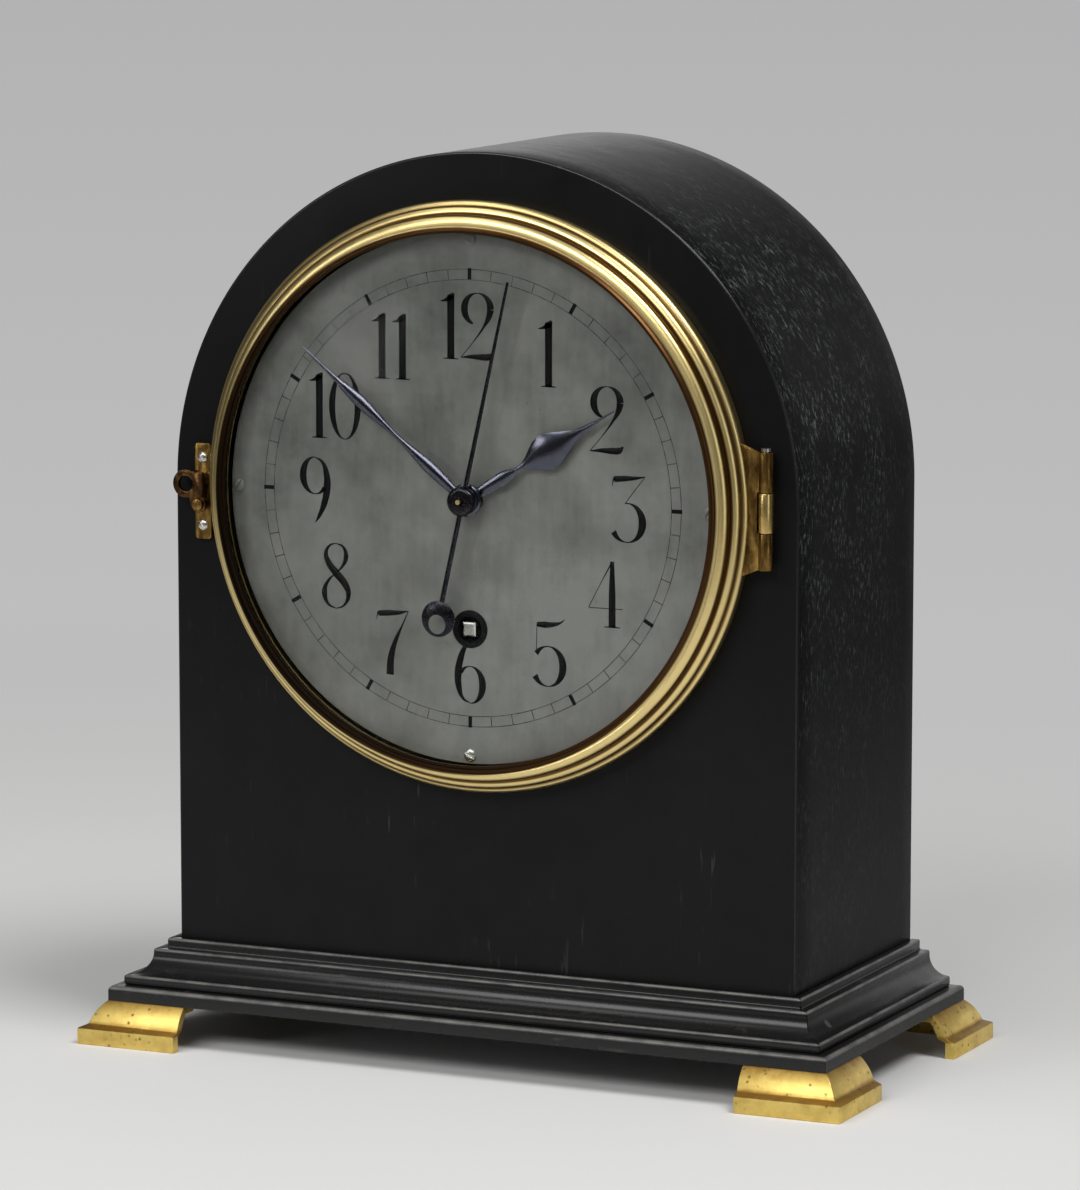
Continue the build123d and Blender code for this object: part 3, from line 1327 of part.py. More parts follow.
spring_stud_spot = (balance_spot[0] + hairspring_end + hairspring_strip / 2 + seat + spring_stud_radius,
                    balance_spot[1])
with BuildPart() as balance_cock:
    with BuildSketch(dial_plane(cock_back)):
        with Locations(cock_foot_spot, balance_spot):
            Circle(cock_end_radius)
        with Locations(spring_stud_spot):
            Circle(cock_tail_radius)
        make_hull()
    extrude(amount=cock_thickness)
    turned(cock_foot_spot, [(cock_foot_radius, escapement_back, cock_front)])
    turned(spring_stud_spot, [(spring_stud_radius, hairspring_front, cock_front)])
    drilled([balance_spot], pivot_radius + running, cock_front, cock_back)
save(balance_cock, "balance_cock")

# Motion work behind the dial
cannon_front = minute_wheel_front - leaf_overrun
cannon_back = minute_wheel_back + leaf_overrun
with BuildPart() as cannon_pinion:
    turned(centre, [(cannon_radius, tube_front, cannon_front)])
    toothed_layer(centre, cannon_leaves, motion_module, cannon_phase, pinion_leaf, cannon_front, cannon_back)
    drilled([centre], centre_tube_radius + seat, tube_front, cannon_back)
save(cannon_pinion, "cannon_pinion")

with BuildPart() as minute_wheel:
    toothed_layer(minute_spot, minute_wheel_teeth, motion_module, minute_wheel_phase, wheel_tooth,
                  minute_wheel_front, minute_wheel_back)
    toothed_layer(minute_spot, minute_pinion_leaves, hour_module, minute_pinion_phase, pinion_leaf,
                  hour_wheel_front - leaf_overrun, minute_wheel_front)
    drilled([minute_spot], stud_radius + running, hour_wheel_front - leaf_overrun, minute_wheel_back)
save(minute_wheel, "minute_wheel")

with BuildPart() as hour_wheel:
    turned(centre, [(hour_pipe_radius, hour_hand_front - pipe_proud, hour_wheel_back)])
    toothed_layer(centre, hour_wheel_teeth, hour_module, hour_wheel_phase, wheel_tooth,
                  hour_wheel_front, hour_wheel_back)
    drilled([centre], cannon_radius + running, hour_hand_front - pipe_proud, hour_wheel_back)
save(hour_wheel, "hour_wheel")


def hand_face(plane, outline, boss, hole):
    """Symmetrical hand: half widths at distances from the axis, a round boss and its hole."""
    with BuildSketch(plane) as face:
        with BuildLine():
            Line((0, outline[0][1]), outline[0])
            Spline(*outline)
            Line(outline[-1], (0, outline[-1][1]))
            mirror(about=Plane.YZ)
        make_face()
        Circle(boss)
        Circle(hole, mode=Mode.SUBTRACT)
    return face.sketch


# Hands, as half width and distance from the centre
hour_outline = [(1.3, 3.0), (1.9, 13.0), (0.75, 19.5), (5.0, 28.0), (1.7, 37.5), (0.6, 44.5),
                (hand_tip, hour_hand_length)]
minute_outline = [(1.2, 2.5), (1.8, 13.5), (0.8, 24.0), (0.75, 29.0), (1.8, 41.0), (0.7, 52.0),
                  (hand_tip, minute_hand_length)]
with BuildPart() as hour_hand:
    extrude(hand_face(hand_plane(dial_front - hour_hand_level, hour_angle), hour_outline,
                      hour_pipe_radius + hour_boss_rim, hour_pipe_radius + seat), amount=hand_thickness)
save(hour_hand, "hour_hand")

with BuildPart() as minute_hand:
    extrude(hand_face(hand_plane(dial_front - minute_hand_level, minute_angle), minute_outline,
                      cannon_radius + minute_boss_rim, cannon_radius + seat), amount=hand_thickness)
save(minute_hand, "minute_hand")

with BuildPart() as seconds_hand:
    with BuildSketch(hand_plane(dial_front - seconds_hand_level, seconds_angle)):
        Polygon((-needle_tip, seconds_hand_length), (-needle_root, 0), (-needle_root, -seconds_tail),
                (needle_root, -seconds_tail), (needle_root, 0), (needle_tip, seconds_hand_length), align=None)
        with Locations((0, -seconds_tail)):
            Circle(counterpoise_radius)
        with Locations((0, -seconds_tail - counterpoise_offset)):
            Circle(counterpoise_hole, mode=Mode.SUBTRACT)
    extrude(amount=hand_thickness)
    turned(centre, [(seconds_boss_radius, seconds_boss_front, dial_front - seconds_hand_level)])
    drilled([centre], fourth_arbor_radius + seat, seconds_boss_front, dial_front - seconds_hand_level)
save(seconds_hand, "seconds_hand")
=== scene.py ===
from math import atan2, cos, hypot, pi, radians, sin, tau

import bmesh
import bpy
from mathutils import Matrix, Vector


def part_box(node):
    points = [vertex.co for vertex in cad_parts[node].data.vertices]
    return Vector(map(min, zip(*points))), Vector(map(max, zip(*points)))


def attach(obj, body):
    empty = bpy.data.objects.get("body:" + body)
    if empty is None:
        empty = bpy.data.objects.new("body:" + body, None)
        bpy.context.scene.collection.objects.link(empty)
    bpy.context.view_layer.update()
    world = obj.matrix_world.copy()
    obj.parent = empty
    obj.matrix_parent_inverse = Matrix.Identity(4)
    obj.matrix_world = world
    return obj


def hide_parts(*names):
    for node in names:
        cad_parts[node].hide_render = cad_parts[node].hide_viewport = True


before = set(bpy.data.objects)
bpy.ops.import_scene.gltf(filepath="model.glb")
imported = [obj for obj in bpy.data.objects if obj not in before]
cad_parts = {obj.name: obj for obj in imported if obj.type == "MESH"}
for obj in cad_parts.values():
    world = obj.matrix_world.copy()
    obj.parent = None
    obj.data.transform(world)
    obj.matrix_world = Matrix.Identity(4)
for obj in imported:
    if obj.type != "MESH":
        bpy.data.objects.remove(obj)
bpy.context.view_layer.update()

# Shelf clock with an arched ebonised case: lengths in metres, in the frame of the CAD part.
MM = 0.001
ROUND = 256            # steps round the large turned pieces
FINE = 48              # steps round the small ones

dial_low, dial_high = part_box("dial_plate")
dial_front = dial_low.y
dial_radius = (dial_high.z - dial_low.z) / 2
centre = Vector((0, 0, (dial_low.z + dial_high.z) / 2))
board_low, board_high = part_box("case_front_board")
case_front = board_low.y
case_half = board_high.x
slab_low, slab_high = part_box("base_slab")
dial_lap = 4.8 * MM    # dial plate over the rim of its opening
dial_hole = dial_radius - dial_lap

# Moulding profile in mm: out from the case, up from the slab
TOE = (12, 2.8)
COVE_MIDDLE = (7.616, 4.382)
COVE_TOP = (5.8, 8.2)
STEP = (5.8, 9.8)
LIP = (2.8, 12.6)
NAIL_SPOT = (case_half + 7.8 * MM, case_front + 5 * MM, slab_high.z + 5 * MM)
# Edges painted grey, as rub wear and as painted highlight lines: their place on the profile and the width of
# the band
RUBBED_AND_LIT_EDGES = ((slab_high.x / MM - case_half / MM, 0, 1.3), (*TOE, 0.8), (*STEP, 0.8), (*LIP, 0.8))


class Tone:
    """A shader socket. Sums, differences, products and powers of tones add their Math nodes."""

    def __init__(self, tree, socket):
        self.tree = tree
        self.socket = socket

    def node(self, kind, settings, inputs, output=0):
        """Add a node, set it up, feed its sockets with values or tones, and give one of its outputs."""
        made = self.tree.nodes.new("ShaderNode" + kind)
        for name, value in settings.items():
            setattr(made, name, value)
        for name, value in inputs.items():
            if isinstance(value, Tone):
                self.tree.links.new(value.socket, made.inputs[name])
            else:
                made.inputs[name].default_value = value
        return Tone(self.tree, made.outputs[output])

    def math(self, operation, first, second):
        return self.node("Math", {"operation": operation}, {0: first, 1: second})

    def __add__(self, other):
        return self.math("ADD", self, other)

    def __radd__(self, other):
        return self.math("ADD", other, self)

    def __sub__(self, other):
        return self.math("SUBTRACT", self, other)

    def __rsub__(self, other):
        return self.math("SUBTRACT", other, self)

    def __mul__(self, other):
        return self.math("MULTIPLY", self, other)

    def __rmul__(self, other):
        return self.math("MULTIPLY", other, self)

    def __pow__(self, other):
        return self.math("POWER", self, other)

    def part(self, axis):
        """One coordinate of a place."""
        return self.node("SeparateXYZ", {}, {"Vector": self}, output="XYZ".index(axis))

    def stretched(self, x, y, z):
        return self.node("Mapping", {}, {"Vector": self, "Scale": (x, y, z)})

    def noise(self, scale, detail=4.0, roughness=0.6):
        return self.node("TexNoise", {}, {"Vector": self, "Scale": scale, "Detail": detail,
                                          "Roughness": roughness})

    def cells(self, scale):
        """Distance to the nearest of scattered points."""
        return self.node("TexVoronoi", {}, {"Vector": self, "Scale": scale})

    def fit(self, low, high, to_low, to_high):
        """The stretch from low to high spread over another, held at its ends."""
        return self.node("MapRange", {}, {"Value": self, "From Min": low, "From Max": high,
                                          "To Min": to_low, "To Max": to_high})

    def mix(self, start, end):
        """Colour between two, by this tone."""
        return self.node("Mix", {"data_type": "RGBA"}, {0: self, 6: start, 7: end}, output=2)

    def bump(self, strength, depth):
        return self.node("Bump", {}, {"Height": self, "Strength": strength, "Distance": depth})

    def polar(self, middle):
        """Place as (angle round the dial axis, depth, radius)."""
        x = self.part("X")
        z = self.part("Z") - middle.z
        radius = (x * x + z * z) ** 0.5
        angle = self.math("ARCTAN2", x, z)
        return self.node("CombineXYZ", {}, {"X": angle, "Y": self.part("Y"), "Z": radius})


def grey(value):
    return (value, value, value, 1.0)


def finish(name, fixed, paint):
    """Material: fixed shader values are set on the shader, the rest come from paint(place)."""
    material = bpy.data.materials.new(name)
    material.use_nodes = True
    tree = material.node_tree
    shader = tree.nodes["Principled BSDF"]
    for socket, value in fixed.items():
        shader.inputs[socket].default_value = value
    place = Tone(tree, tree.nodes.new("ShaderNodeTexCoord").outputs["Object"])
    for socket, tone in paint(place).items():
        tree.links.new(tone.socket, shader.inputs[socket])
    return material


def board_paint(place):
    """Black polish with fine upright grain and a few rubbed scratches, painted lighter towards its foot as a
    reflection of the pale floor.
    """
    grain = place.stretched(1, 1, 0.035).noise(1700, 5)
    paler = place.stretched(1, 1, 0.12).noise(620, 2).fit(0.66, 0.74, 0, 1)
    patches = place.noise(26, 3).fit(0.48, 0.62, 0, 1)
    low = place.part("Z").fit(0.17, 0.08, 0, 1)
    scratches = paler * patches * low.fit(0, 1, 0.2, 1)
    dust = place.noise(55, 5, 0.7)
    # Painted reflection of the pale floor: the black is made lighter towards the foot, patchy with the dust
    # noise.
    painted_floor_glow = low * dust.fit(0.3, 0.6, 0.5, 1)
    black = painted_floor_glow.mix((0.0062, 0.0062, 0.0064, 1), (0.0105, 0.0105, 0.0106, 1))
    colour = scratches.mix(black, (0.032, 0.032, 0.033, 1))
    roughness = dust.fit(0.3, 0.7, 0.28, 0.4) + scratches * 0.1
    height = grain * 0.5 + scratches
    return {"Base Color": colour, "Roughness": roughness, "Normal": height.bump(0.1, 0.0002)}


def shell_paint(place):
    """Black polish worn to flecks on the shoulders of the bent sides, glossy at the top and low down."""
    x = place.part("X")
    up = place.part("Z") - centre.z
    lean = place.math("ARCTAN2", place.math("ABSOLUTE", x, 0), place.math("MAXIMUM", up, 0))
    along = lean * case_half - place.math("MINIMUM", up, 0)
    spread = place.node("CombineXYZ", {}, {"X": along, "Y": place.part("Y"), "Z": x * 0.02})
    shoulder = along.fit(0.025, 0.075, 0, 1) * along.fit(0.13, 0.23, 1, 0.2)
    shoulder = shoulder * place.part("Y").fit(0.0, 0.04, 1, 0.3)
    pores = spread.stretched(0.42, 1, 1).noise(950, 5, 0.78).fit(0.53, 0.63, 0, 1)
    worn = spread.noise(70, 5, 0.75).fit(0.4, 0.62, 0, 1)
    flecks = pores * worn * shoulder
    haze = spread.stretched(0.3, 1, 1).noise(240, 4)
    colour = flecks.mix((0.0046, 0.0048, 0.005, 1), (0.135, 0.143, 0.141, 1))
    roughness = haze.fit(0.3, 0.7, 0.24, 0.34) + flecks * 0.15
    height = pores + haze * 0.6
    polish = along.fit(0.0, 0.075, 0.4, 0) + along.fit(0.19, 0.26, 0, 0.13)
    return {"Base Color": colour, "Roughness": roughness, "Coat Weight": polish,
            "Normal": height.bump(0.1, 0.0002)}


def scuffed_paint(place):
    """Satin black, scuffed to grey here and there, painted grey along its edges as wear and as highlight
    lines, polished at the front.
    """
    scuffs = place.stretched(0.25, 0.25, 1).noise(520, 4).fit(0.6, 0.74, 0, 1)
    patches = place.noise(48, 3).fit(0.45, 0.65, 0, 1)
    marks = scuffs * patches
    aside = place.math("ABSOLUTE", place.part("X"), 0) - case_half
    ahead = case_front - place.part("Y")
    out = place.math("MAXIMUM", aside, ahead)
    up = place.part("Z") - slab_high.z
    # Grey bands along the edges: rub wear and painted highlight lines.
    edges = 0
    for reach, height, width in RUBBED_AND_LIT_EDGES:
        away = ((out - reach * MM) ** 2 + (up - height * MM) ** 2) ** 0.5
        edges = edges + away.fit(0.5 * width * MM, width * MM, 1, 0)
    edges = edges * place.noise(130, 4).fit(0.35, 0.6, 0.4, 1)
    colour = marks.mix(grey(0.008), (0.06, 0.058, 0.054, 1))
    colour = edges.mix(colour, (0.13, 0.126, 0.118, 1))
    roughness = place.noise(90, 5, 0.7).fit(0.3, 0.7, 0.22, 0.34) + (marks + edges) * 0.15
    polish = (ahead - aside).fit(-0.0005, 0.0005, 0.06, 0.6)
    height = place.stretched(0.2, 0.2, 1).noise(1300, 4) + marks
    return {"Base Color": colour, "Roughness": roughness, "Coat Weight": polish,
            "Normal": height.bump(0.1, 0.0002)}


def moulding_paint(place):
    """Scuffed black with a filled nail hole near the right front corner."""
    paint = scuffed_paint(place)
    away = place.node("VectorMath", {"operation": "DISTANCE"}, {0: place, 1: NAIL_SPOT}, output=1)
    filler = away.fit(0.001, 0.0016, 0.8, 0)
    paint["Base Color"] = filler.mix(paint["Base Color"], (0.075, 0.07, 0.065, 1))
    return paint


def turned_brass_paint(place):
    """Lacquered brass with turning lines round the dial axis, brown in the hollows, and painted shade on its
    inner edge, near black and widest at the lower left.
    """
    ring = place.polar(centre)
    lines = ring.stretched(0.004, 0.35, 1).noise(5200, 3)
    stain = place.noise(75, 5, 0.7).fit(0.52, 0.8, 0, 0.3)
    radius = ring.part("Z")
    # Painted shade on the inner edge of the bezel: a band near black and wide at the lower left, brown and
    # narrow at the upper right.
    side = (place.part("X") + (place.part("Z") - centre.z) * 0.6).fit(-0.09, 0.02, 0, 1)
    inner = (radius - side.fit(0, 1, 0.0768, 0.0750)).fit(0, 0.0005, 1, 0)
    groove = radius.fit(0.0778, 0.0781, 0, 1) * radius.fit(0.0788, 0.0792, 1, 0)
    step = radius.fit(0.0800, 0.0804, 0, 1) * radius.fit(0.0809, 0.0813, 1, 0)
    colour = stain.mix((0.86, 0.68, 0.3, 1), (0.5, 0.33, 0.12, 1))
    colour = (groove + step * 0.85).mix(colour, (0.15, 0.075, 0.02, 1))
    colour = inner.mix(colour, side.mix((0.012, 0.007, 0.004, 1), (0.07, 0.034, 0.013, 1)))
    roughness = lines.fit(0.3, 0.7, 0.28, 0.36) + stain * 0.2
    return {"Base Color": colour, "Roughness": roughness, "Normal": lines.bump(0.012, 0.0001)}


def cast_brass_paint(place):
    """Old gilt brass: soft polish, small dark pits and stains, darker along the ledge, with painted shade on
    its upper part under the slab.
    """
    up = place.part("Z")
    ledge = up.fit(0.0044, 0.0047, 0, 0.85) * up.fit(0.0057, 0.0066, 1, 0)
    # Painted shade: the upper part of the foot, under the slab, is made browner.
    painted_shade_under_slab = up.fit(0.0088, 0.0118, 0, 0.75)
    pits = place.cells(430).fit(0.1, 0.28, 1, 0) * place.noise(170, 3).fit(0.47, 0.54, 0, 1)
    stain = place.noise(140, 5, 0.7).fit(0.42, 0.75, 0, 0.55) + ledge + painted_shade_under_slab
    worn = place.stretched(0.3, 0.3, 1).noise(900, 3)
    colour = stain.mix((0.82, 0.62, 0.185, 1), (0.4, 0.23, 0.05, 1))
    colour = (pits * 0.7).mix(colour, (0.16, 0.09, 0.03, 1))
    roughness = worn.fit(0.3, 0.7, 0.44, 0.54) + pits * 0.3
    height = worn * 0.1 - pits
    return {"Base Color": colour, "Roughness": roughness, "Normal": height.bump(0.05, 0.0001)}


def filed_brass(place, stain, bright, brown):
    """Brass with file lines along it, stained from bright to brown."""
    lines = place.stretched(1, 1, 0.05).noise(3500, 3)
    roughness = lines.fit(0.3, 0.7, 0.2, 0.32) + stain * 0.1
    return {"Base Color": stain.mix(bright, brown), "Roughness": roughness,
            "Normal": lines.bump(0.06, 0.0001)}


def small_brass_paint(place):
    """Hinge and latch brass, browner than the bezel."""
    stain = place.stretched(1, 1, 0.4).noise(260, 5, 0.7).fit(0.42, 0.75, 0, 0.8)
    return filed_brass(place, stain, (0.74, 0.54, 0.2, 1), (0.34, 0.2, 0.06, 1))


def shaded_brown_brass_paint(place):
    """Brass painted brown as shade for the fittings in shadow, with tarnish, bright only in patches."""
    stain = place.stretched(1, 1, 0.4).noise(320, 5, 0.7).fit(0.35, 0.62, 0, 1)
    return filed_brass(place, stain, (0.36, 0.22, 0.06, 1), (0.09, 0.045, 0.013, 1))


def shaded_dark_brass_paint(place):
    """Brass painted nearly black: shade on the latch hook, with tarnish."""
    stain = place.noise(380, 5, 0.7).fit(0.35, 0.6, 0, 1)
    colour = stain.mix((0.2, 0.1, 0.035, 1), (0.035, 0.018, 0.009, 1))
    return {"Base Color": colour, "Roughness": stain.fit(0, 1, 0.24, 0.36),
            "Normal": stain.bump(0.05, 0.0001)}


def movement_brass_paint(place):
    """Grained movement brass, a little tarnished."""
    lines = place.stretched(1, 1, 0.03).noise(2600, 4)
    stain = place.noise(140, 5, 0.7).fit(0.45, 0.75, 0, 0.6)
    colour = stain.mix((0.72, 0.53, 0.22, 1), (0.42, 0.28, 0.1, 1))
    return {"Base Color": colour, "Roughness": lines.fit(0.3, 0.7, 0.24, 0.4),
            "Normal": lines.bump(0.12, 0.0001)}


def steel_paint(place):
    """Polished steel with faint hair lines."""
    lines = place.noise(2400, 4)
    stain = place.noise(300, 5, 0.7).fit(0.5, 0.78, 0, 0.5)
    colour = stain.mix((0.62, 0.61, 0.58, 1), (0.32, 0.28, 0.22, 1))
    return {"Base Color": colour, "Roughness": lines.fit(0.3, 0.7, 0.2, 0.34),
            "Normal": lines.bump(0.06, 0.0001)}


def blued_paint(place):
    """Heat-blued steel, violet in places."""
    tint = place.noise(110, 3).fit(0.35, 0.65, 0, 1)
    lines = place.noise(2600, 4)
    colour = tint.mix((0.085, 0.094, 0.12, 1), (0.105, 0.1, 0.128, 1))
    return {"Base Color": colour, "Roughness": lines.fit(0.3, 0.7, 0.17, 0.22),
            "Normal": lines.bump(0.008, 0.0001)}


def blackened_paint(place):
    """Oil-blackened steel of the seconds hand and the hubs."""
    lines = place.noise(2600, 4)
    tint = place.noise(160, 3).fit(0.35, 0.65, 0, 1)
    colour = tint.mix((0.022, 0.022, 0.028, 1), (0.045, 0.042, 0.05, 1))
    return {"Base Color": colour, "Roughness": lines.fit(0.3, 0.7, 0.2, 0.32),
            "Normal": lines.bump(0.03, 0.0001)}


def dial_paint(place):
    """Silvered brass gone grey: cloudy, streaked, with small spots, and a painted sheen that makes it paler
    towards the lower right.
    """
    clouds = place.noise(38, 6, 0.62)
    streaks = place.stretched(1, 1, 0.12).noise(420, 5, 0.65)
    spots = place.cells(210).fit(0.03, 0.11, 1, 0) * place.noise(60, 3).fit(0.5, 0.62, 0, 1)
    # Painted sheen: the silvering is made paler towards the lower right.
    paler = (place.part("X") * 0.5 - place.part("Z") + centre.z).fit(-0.03, 0.07, 0, 1)
    shade = clouds * 0.8 + streaks * 0.2 + paler * 0.2
    colour = shade.fit(0.36, 0.72, 0, 1).mix((0.097, 0.099, 0.091, 1), (0.236, 0.239, 0.223, 1))
    colour = (spots * 0.35).mix(colour, (0.08, 0.078, 0.07, 1))
    roughness = streaks.fit(0.3, 0.7, 0.42, 0.56)
    height = streaks * 0.5 + clouds
    return {"Base Color": colour, "Roughness": roughness, "Normal": height.bump(0.06, 0.0002)}


def ink_paint(place):
    """Black wax in the engraving, thin in places."""
    thin = place.noise(900, 4).fit(0.62, 0.8, 0, 1)
    colour = thin.mix((0.0015, 0.0015, 0.0016, 1), (0.014, 0.014, 0.014, 1))
    return {"Base Color": colour, "Roughness": thin.fit(0, 1, 0.55, 0.7)}


def track_paint(place):
    """The thin worn lines of the minute track."""
    thin = place.noise(300, 4).fit(0.42, 0.6, 0, 1)
    colour = thin.mix((0.016, 0.016, 0.016, 1), (0.08, 0.081, 0.076, 1))
    return {"Base Color": colour, "Roughness": thin.fit(0, 1, 0.45, 0.55)}


def dusty_mirror_paint(place):
    """The mirror in the glass, dulled by a trace of dust."""
    dust = place.noise(300, 5, 0.7)
    return {"Base Color": dust.fit(0.3, 0.7, 0.9, 1).mix(grey(0), grey(1)),
            "Roughness": dust.fit(0.3, 0.7, 0.02, 0.06)}


METAL = {"Metallic": 1.0}
front_black = finish("ebonised_front", {"Specular IOR Level": 0.09}, board_paint)
shell_black = finish("ebonised_shell", {"Specular IOR Level": 0.01, "Coat Roughness": 0.3}, shell_paint)
moulding_black = finish("ebonised_moulding", {"Specular IOR Level": 0.08, "Coat Roughness": 0.22},
                        moulding_paint)
slab_black = finish("ebonised_slab", {"Specular IOR Level": 0.08, "Coat Roughness": 0.26}, scuffed_paint)
turned_brass = finish("turned_brass", METAL, turned_brass_paint)
cast_brass = finish("cast_brass", METAL, cast_brass_paint)
small_brass = finish("small_brass", METAL, small_brass_paint)
shaded_brown_brass = finish("shaded_brown_brass", METAL, shaded_brown_brass_paint)
shaded_dark_brass = finish("shaded_dark_brass", METAL, shaded_dark_brass_paint)
movement_brass = finish("grained_brass", METAL, movement_brass_paint)
steel = finish("polished_steel", METAL, steel_paint)
blued_steel = finish("blued_hands", METAL, blued_paint)
black_steel = finish("blackened_steel", METAL, blackened_paint)
silvering = finish("silvered_face", {"Metallic": 0.35, "Specular IOR Level": 0.4}, dial_paint)
ink = finish("black_wax", {"Specular IOR Level": 0.15}, ink_paint)
track_ink = finish("track_wax", {"Specular IOR Level": 0.3}, track_paint)


def glass_finish():
    """Clear glass: see-through, with a mirror that grows towards grazing views."""
    material = finish("dial_glass", METAL, dusty_mirror_paint)
    tree = material.node_tree
    mirror = Tone(tree, tree.nodes["Principled BSDF"].outputs[0])
    share = mirror.node("Fresnel", {}, {"IOR": 1.35}) * 0.05
    clear = mirror.node("BsdfTransparent", {}, {"Color": (0.985, 0.99, 0.985, 1)})
    both = mirror.node("MixShader", {}, {0: share, 1: clear, 2: mirror})
    tree.links.new(both.socket, tree.nodes["Material Output"].inputs["Surface"])
    return material


glass = glass_finish()


def settle():
    """Object mode with nothing selected."""
    if bpy.context.object and bpy.context.object.mode == "EDIT":
        bpy.ops.object.mode_set(mode="OBJECT")
    bpy.ops.object.select_all(action="DESELECT")


def named(name):
    """The piece just added, named, with its place in its mesh."""
    piece = bpy.context.object
    piece.name = name
    piece.data.name = name
    bpy.ops.object.transform_apply(location=True, rotation=True, scale=True)
    return piece


def take(piece):
    """The only selected piece, active."""
    settle()
    piece.select_set(True)
    bpy.context.view_layer.objects.active = piece
    return piece


def edit(piece):
    take(piece)
    bpy.ops.object.mode_set(mode="EDIT")
    bpy.ops.mesh.select_mode(type="VERT")
    bpy.ops.mesh.select_all(action="SELECT")


def pick(piece, kind, inside):
    """Select the vertices, edges or faces whose every corner is inside."""
    bpy.ops.mesh.select_mode(type=kind)
    bpy.ops.mesh.select_all(action="DESELECT")
    mesh = bmesh.from_edit_mesh(piece.data)
    for item in {"VERT": mesh.verts, "EDGE": mesh.edges, "FACE": mesh.faces}[kind]:
        corners = [item] if kind == "VERT" else item.verts
        item.select_set(all(inside(corner.co) for corner in corners))
    mesh.select_flush_mode()
    bmesh.update_edit_mesh(piece.data)


def tidy():
    """Merge what lies together, turn the faces outwards, and leave edit mode."""
    bpy.ops.mesh.select_all(action="SELECT")
    bpy.ops.mesh.remove_doubles(threshold=0.001 * MM)
    bpy.ops.mesh.normals_make_consistent(inside=False)
    bpy.ops.object.mode_set(mode="OBJECT")


def smooth(piece, angle=32):
    take(piece)
    bpy.ops.object.shade_smooth_by_angle(angle=radians(angle))
    return piece


def modify(piece, kind, **settings):
    """Add a modifier and apply it."""
    take(piece)
    modifier = piece.modifiers.new("work", kind)
    for name, value in settings.items():
        setattr(modifier, name, value)
    bpy.ops.object.modifier_apply(modifier=modifier.name)
    return piece


def ease(piece, width, steps=2, angle=32):
    """Round the sharp edges."""
    return modify(piece, "BEVEL", width=width, segments=steps, limit_method="ANGLE",
                  angle_limit=radians(angle))


def cut(piece, tool):
    """Take the tool's shape out of a piece."""
    modify(piece, "BOOLEAN", operation="DIFFERENCE", object=tool, solver="EXACT")
    bpy.data.objects.remove(tool)
    return piece


def joined(name, *parts):
    """Several meshes as one piece."""
    take(parts[0])
    for part in parts:
        part.select_set(True)
    bpy.ops.object.join()
    parts[0].name = name
    return parts[0]


def dress(piece, material, body, slot, *nodes):
    """Give a piece its finish, its body and the CAD nodes it stands for."""
    if material:
        piece.data.materials.clear()
        piece.data.materials.append(material)
    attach(piece, body)
    if nodes:
        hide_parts(*nodes)
    return piece


def bow(start, via, end, steps=6):
    """Points of the arc through three points, without its start."""
    (ax, ay), (bx, by), (cx, cy) = start, via, end
    spread = 2 * (ax * (by - cy) + bx * (cy - ay) + cx * (ay - by))
    a, b, c = ax * ax + ay * ay, bx * bx + by * by, cx * cx + cy * cy
    x = (a * (by - cy) + b * (cy - ay) + c * (ay - by)) / spread
    y = (a * (cx - bx) + b * (ax - cx) + c * (bx - ax)) / spread
    radius = hypot(ax - x, ay - y)
    first = atan2(ay - y, ax - x)
    turn = (atan2(cy - y, cx - x) - first) % tau
    if (atan2(by - y, bx - x) - first) % tau > turn:
        turn -= tau
    angles = [first + turn * i / steps for i in range(1, steps + 1)]
    return [(x + radius * cos(angle), y + radius * sin(angle)) for angle in angles]


def trace(name, points):
    """Face drawn through points, one extruded vertex after another; left in edit mode."""
    settle()
    bpy.ops.mesh.primitive_plane_add(size=MM, location=points[0])
    piece = named(name)
    edit(piece)
    bpy.ops.mesh.merge(type="CENTER")
    for here, there in zip(points, points[1:]):
        step = Vector(there) - Vector(here)
        bpy.ops.mesh.extrude_vertices_move(TRANSFORM_OT_translate={"value": step})
    bpy.ops.mesh.select_all(action="SELECT")
    bpy.ops.mesh.edge_face_add()
    return piece


def spun(name, section, middle=centre, steps=ROUND):
    """Turned piece: a section of (radius, y) points spun about an axis along y."""
    piece = trace(name, [(middle.x + radius, y, middle.z) for radius, y in section])
    bpy.ops.mesh.delete(type="ONLY_FACE")
    bpy.ops.mesh.select_all(action="SELECT")
    bpy.ops.mesh.spin(steps=steps, angle=tau, center=middle, axis=(0, 1, 0))
    tidy()
    return piece


def drawn(name, outline, along):
    """Face pushed along a straight line."""
    piece = trace(name, outline)
    bpy.ops.mesh.extrude_region_move(TRANSFORM_OT_translate={"value": along})
    tidy()
    return piece


def sawn(piece, point, normal):
    """Saw off what lies on the normal's side of a point."""
    edit(piece)
    bpy.ops.mesh.bisect(plane_co=point, plane_no=normal, use_fill=True, clear_outer=True)
    tidy()
    return piece


def arch(name, low, high):
    """Board with straight sides and a half-round top that fills the box from low to high."""
    radius = (high.x - low.x) / 2
    top = high.z - radius
    settle()
    bpy.ops.mesh.primitive_cylinder_add(vertices=ROUND, radius=radius, depth=high.y - low.y,
                                        location=((low.x + high.x) / 2, (low.y + high.y) / 2, top),
                                        rotation=(pi / 2, 0, 0))
    piece = named(name)
    edit(piece)
    bpy.ops.mesh.bisect(plane_co=(0, 0, top), plane_no=(0, 0, 1), use_fill=True, clear_inner=True,
                        threshold=0.001 * MM)
    bpy.ops.mesh.extrude_region_move(TRANSFORM_OT_translate={"value": (0, 0, low.z - top)})
    tidy()
    return piece


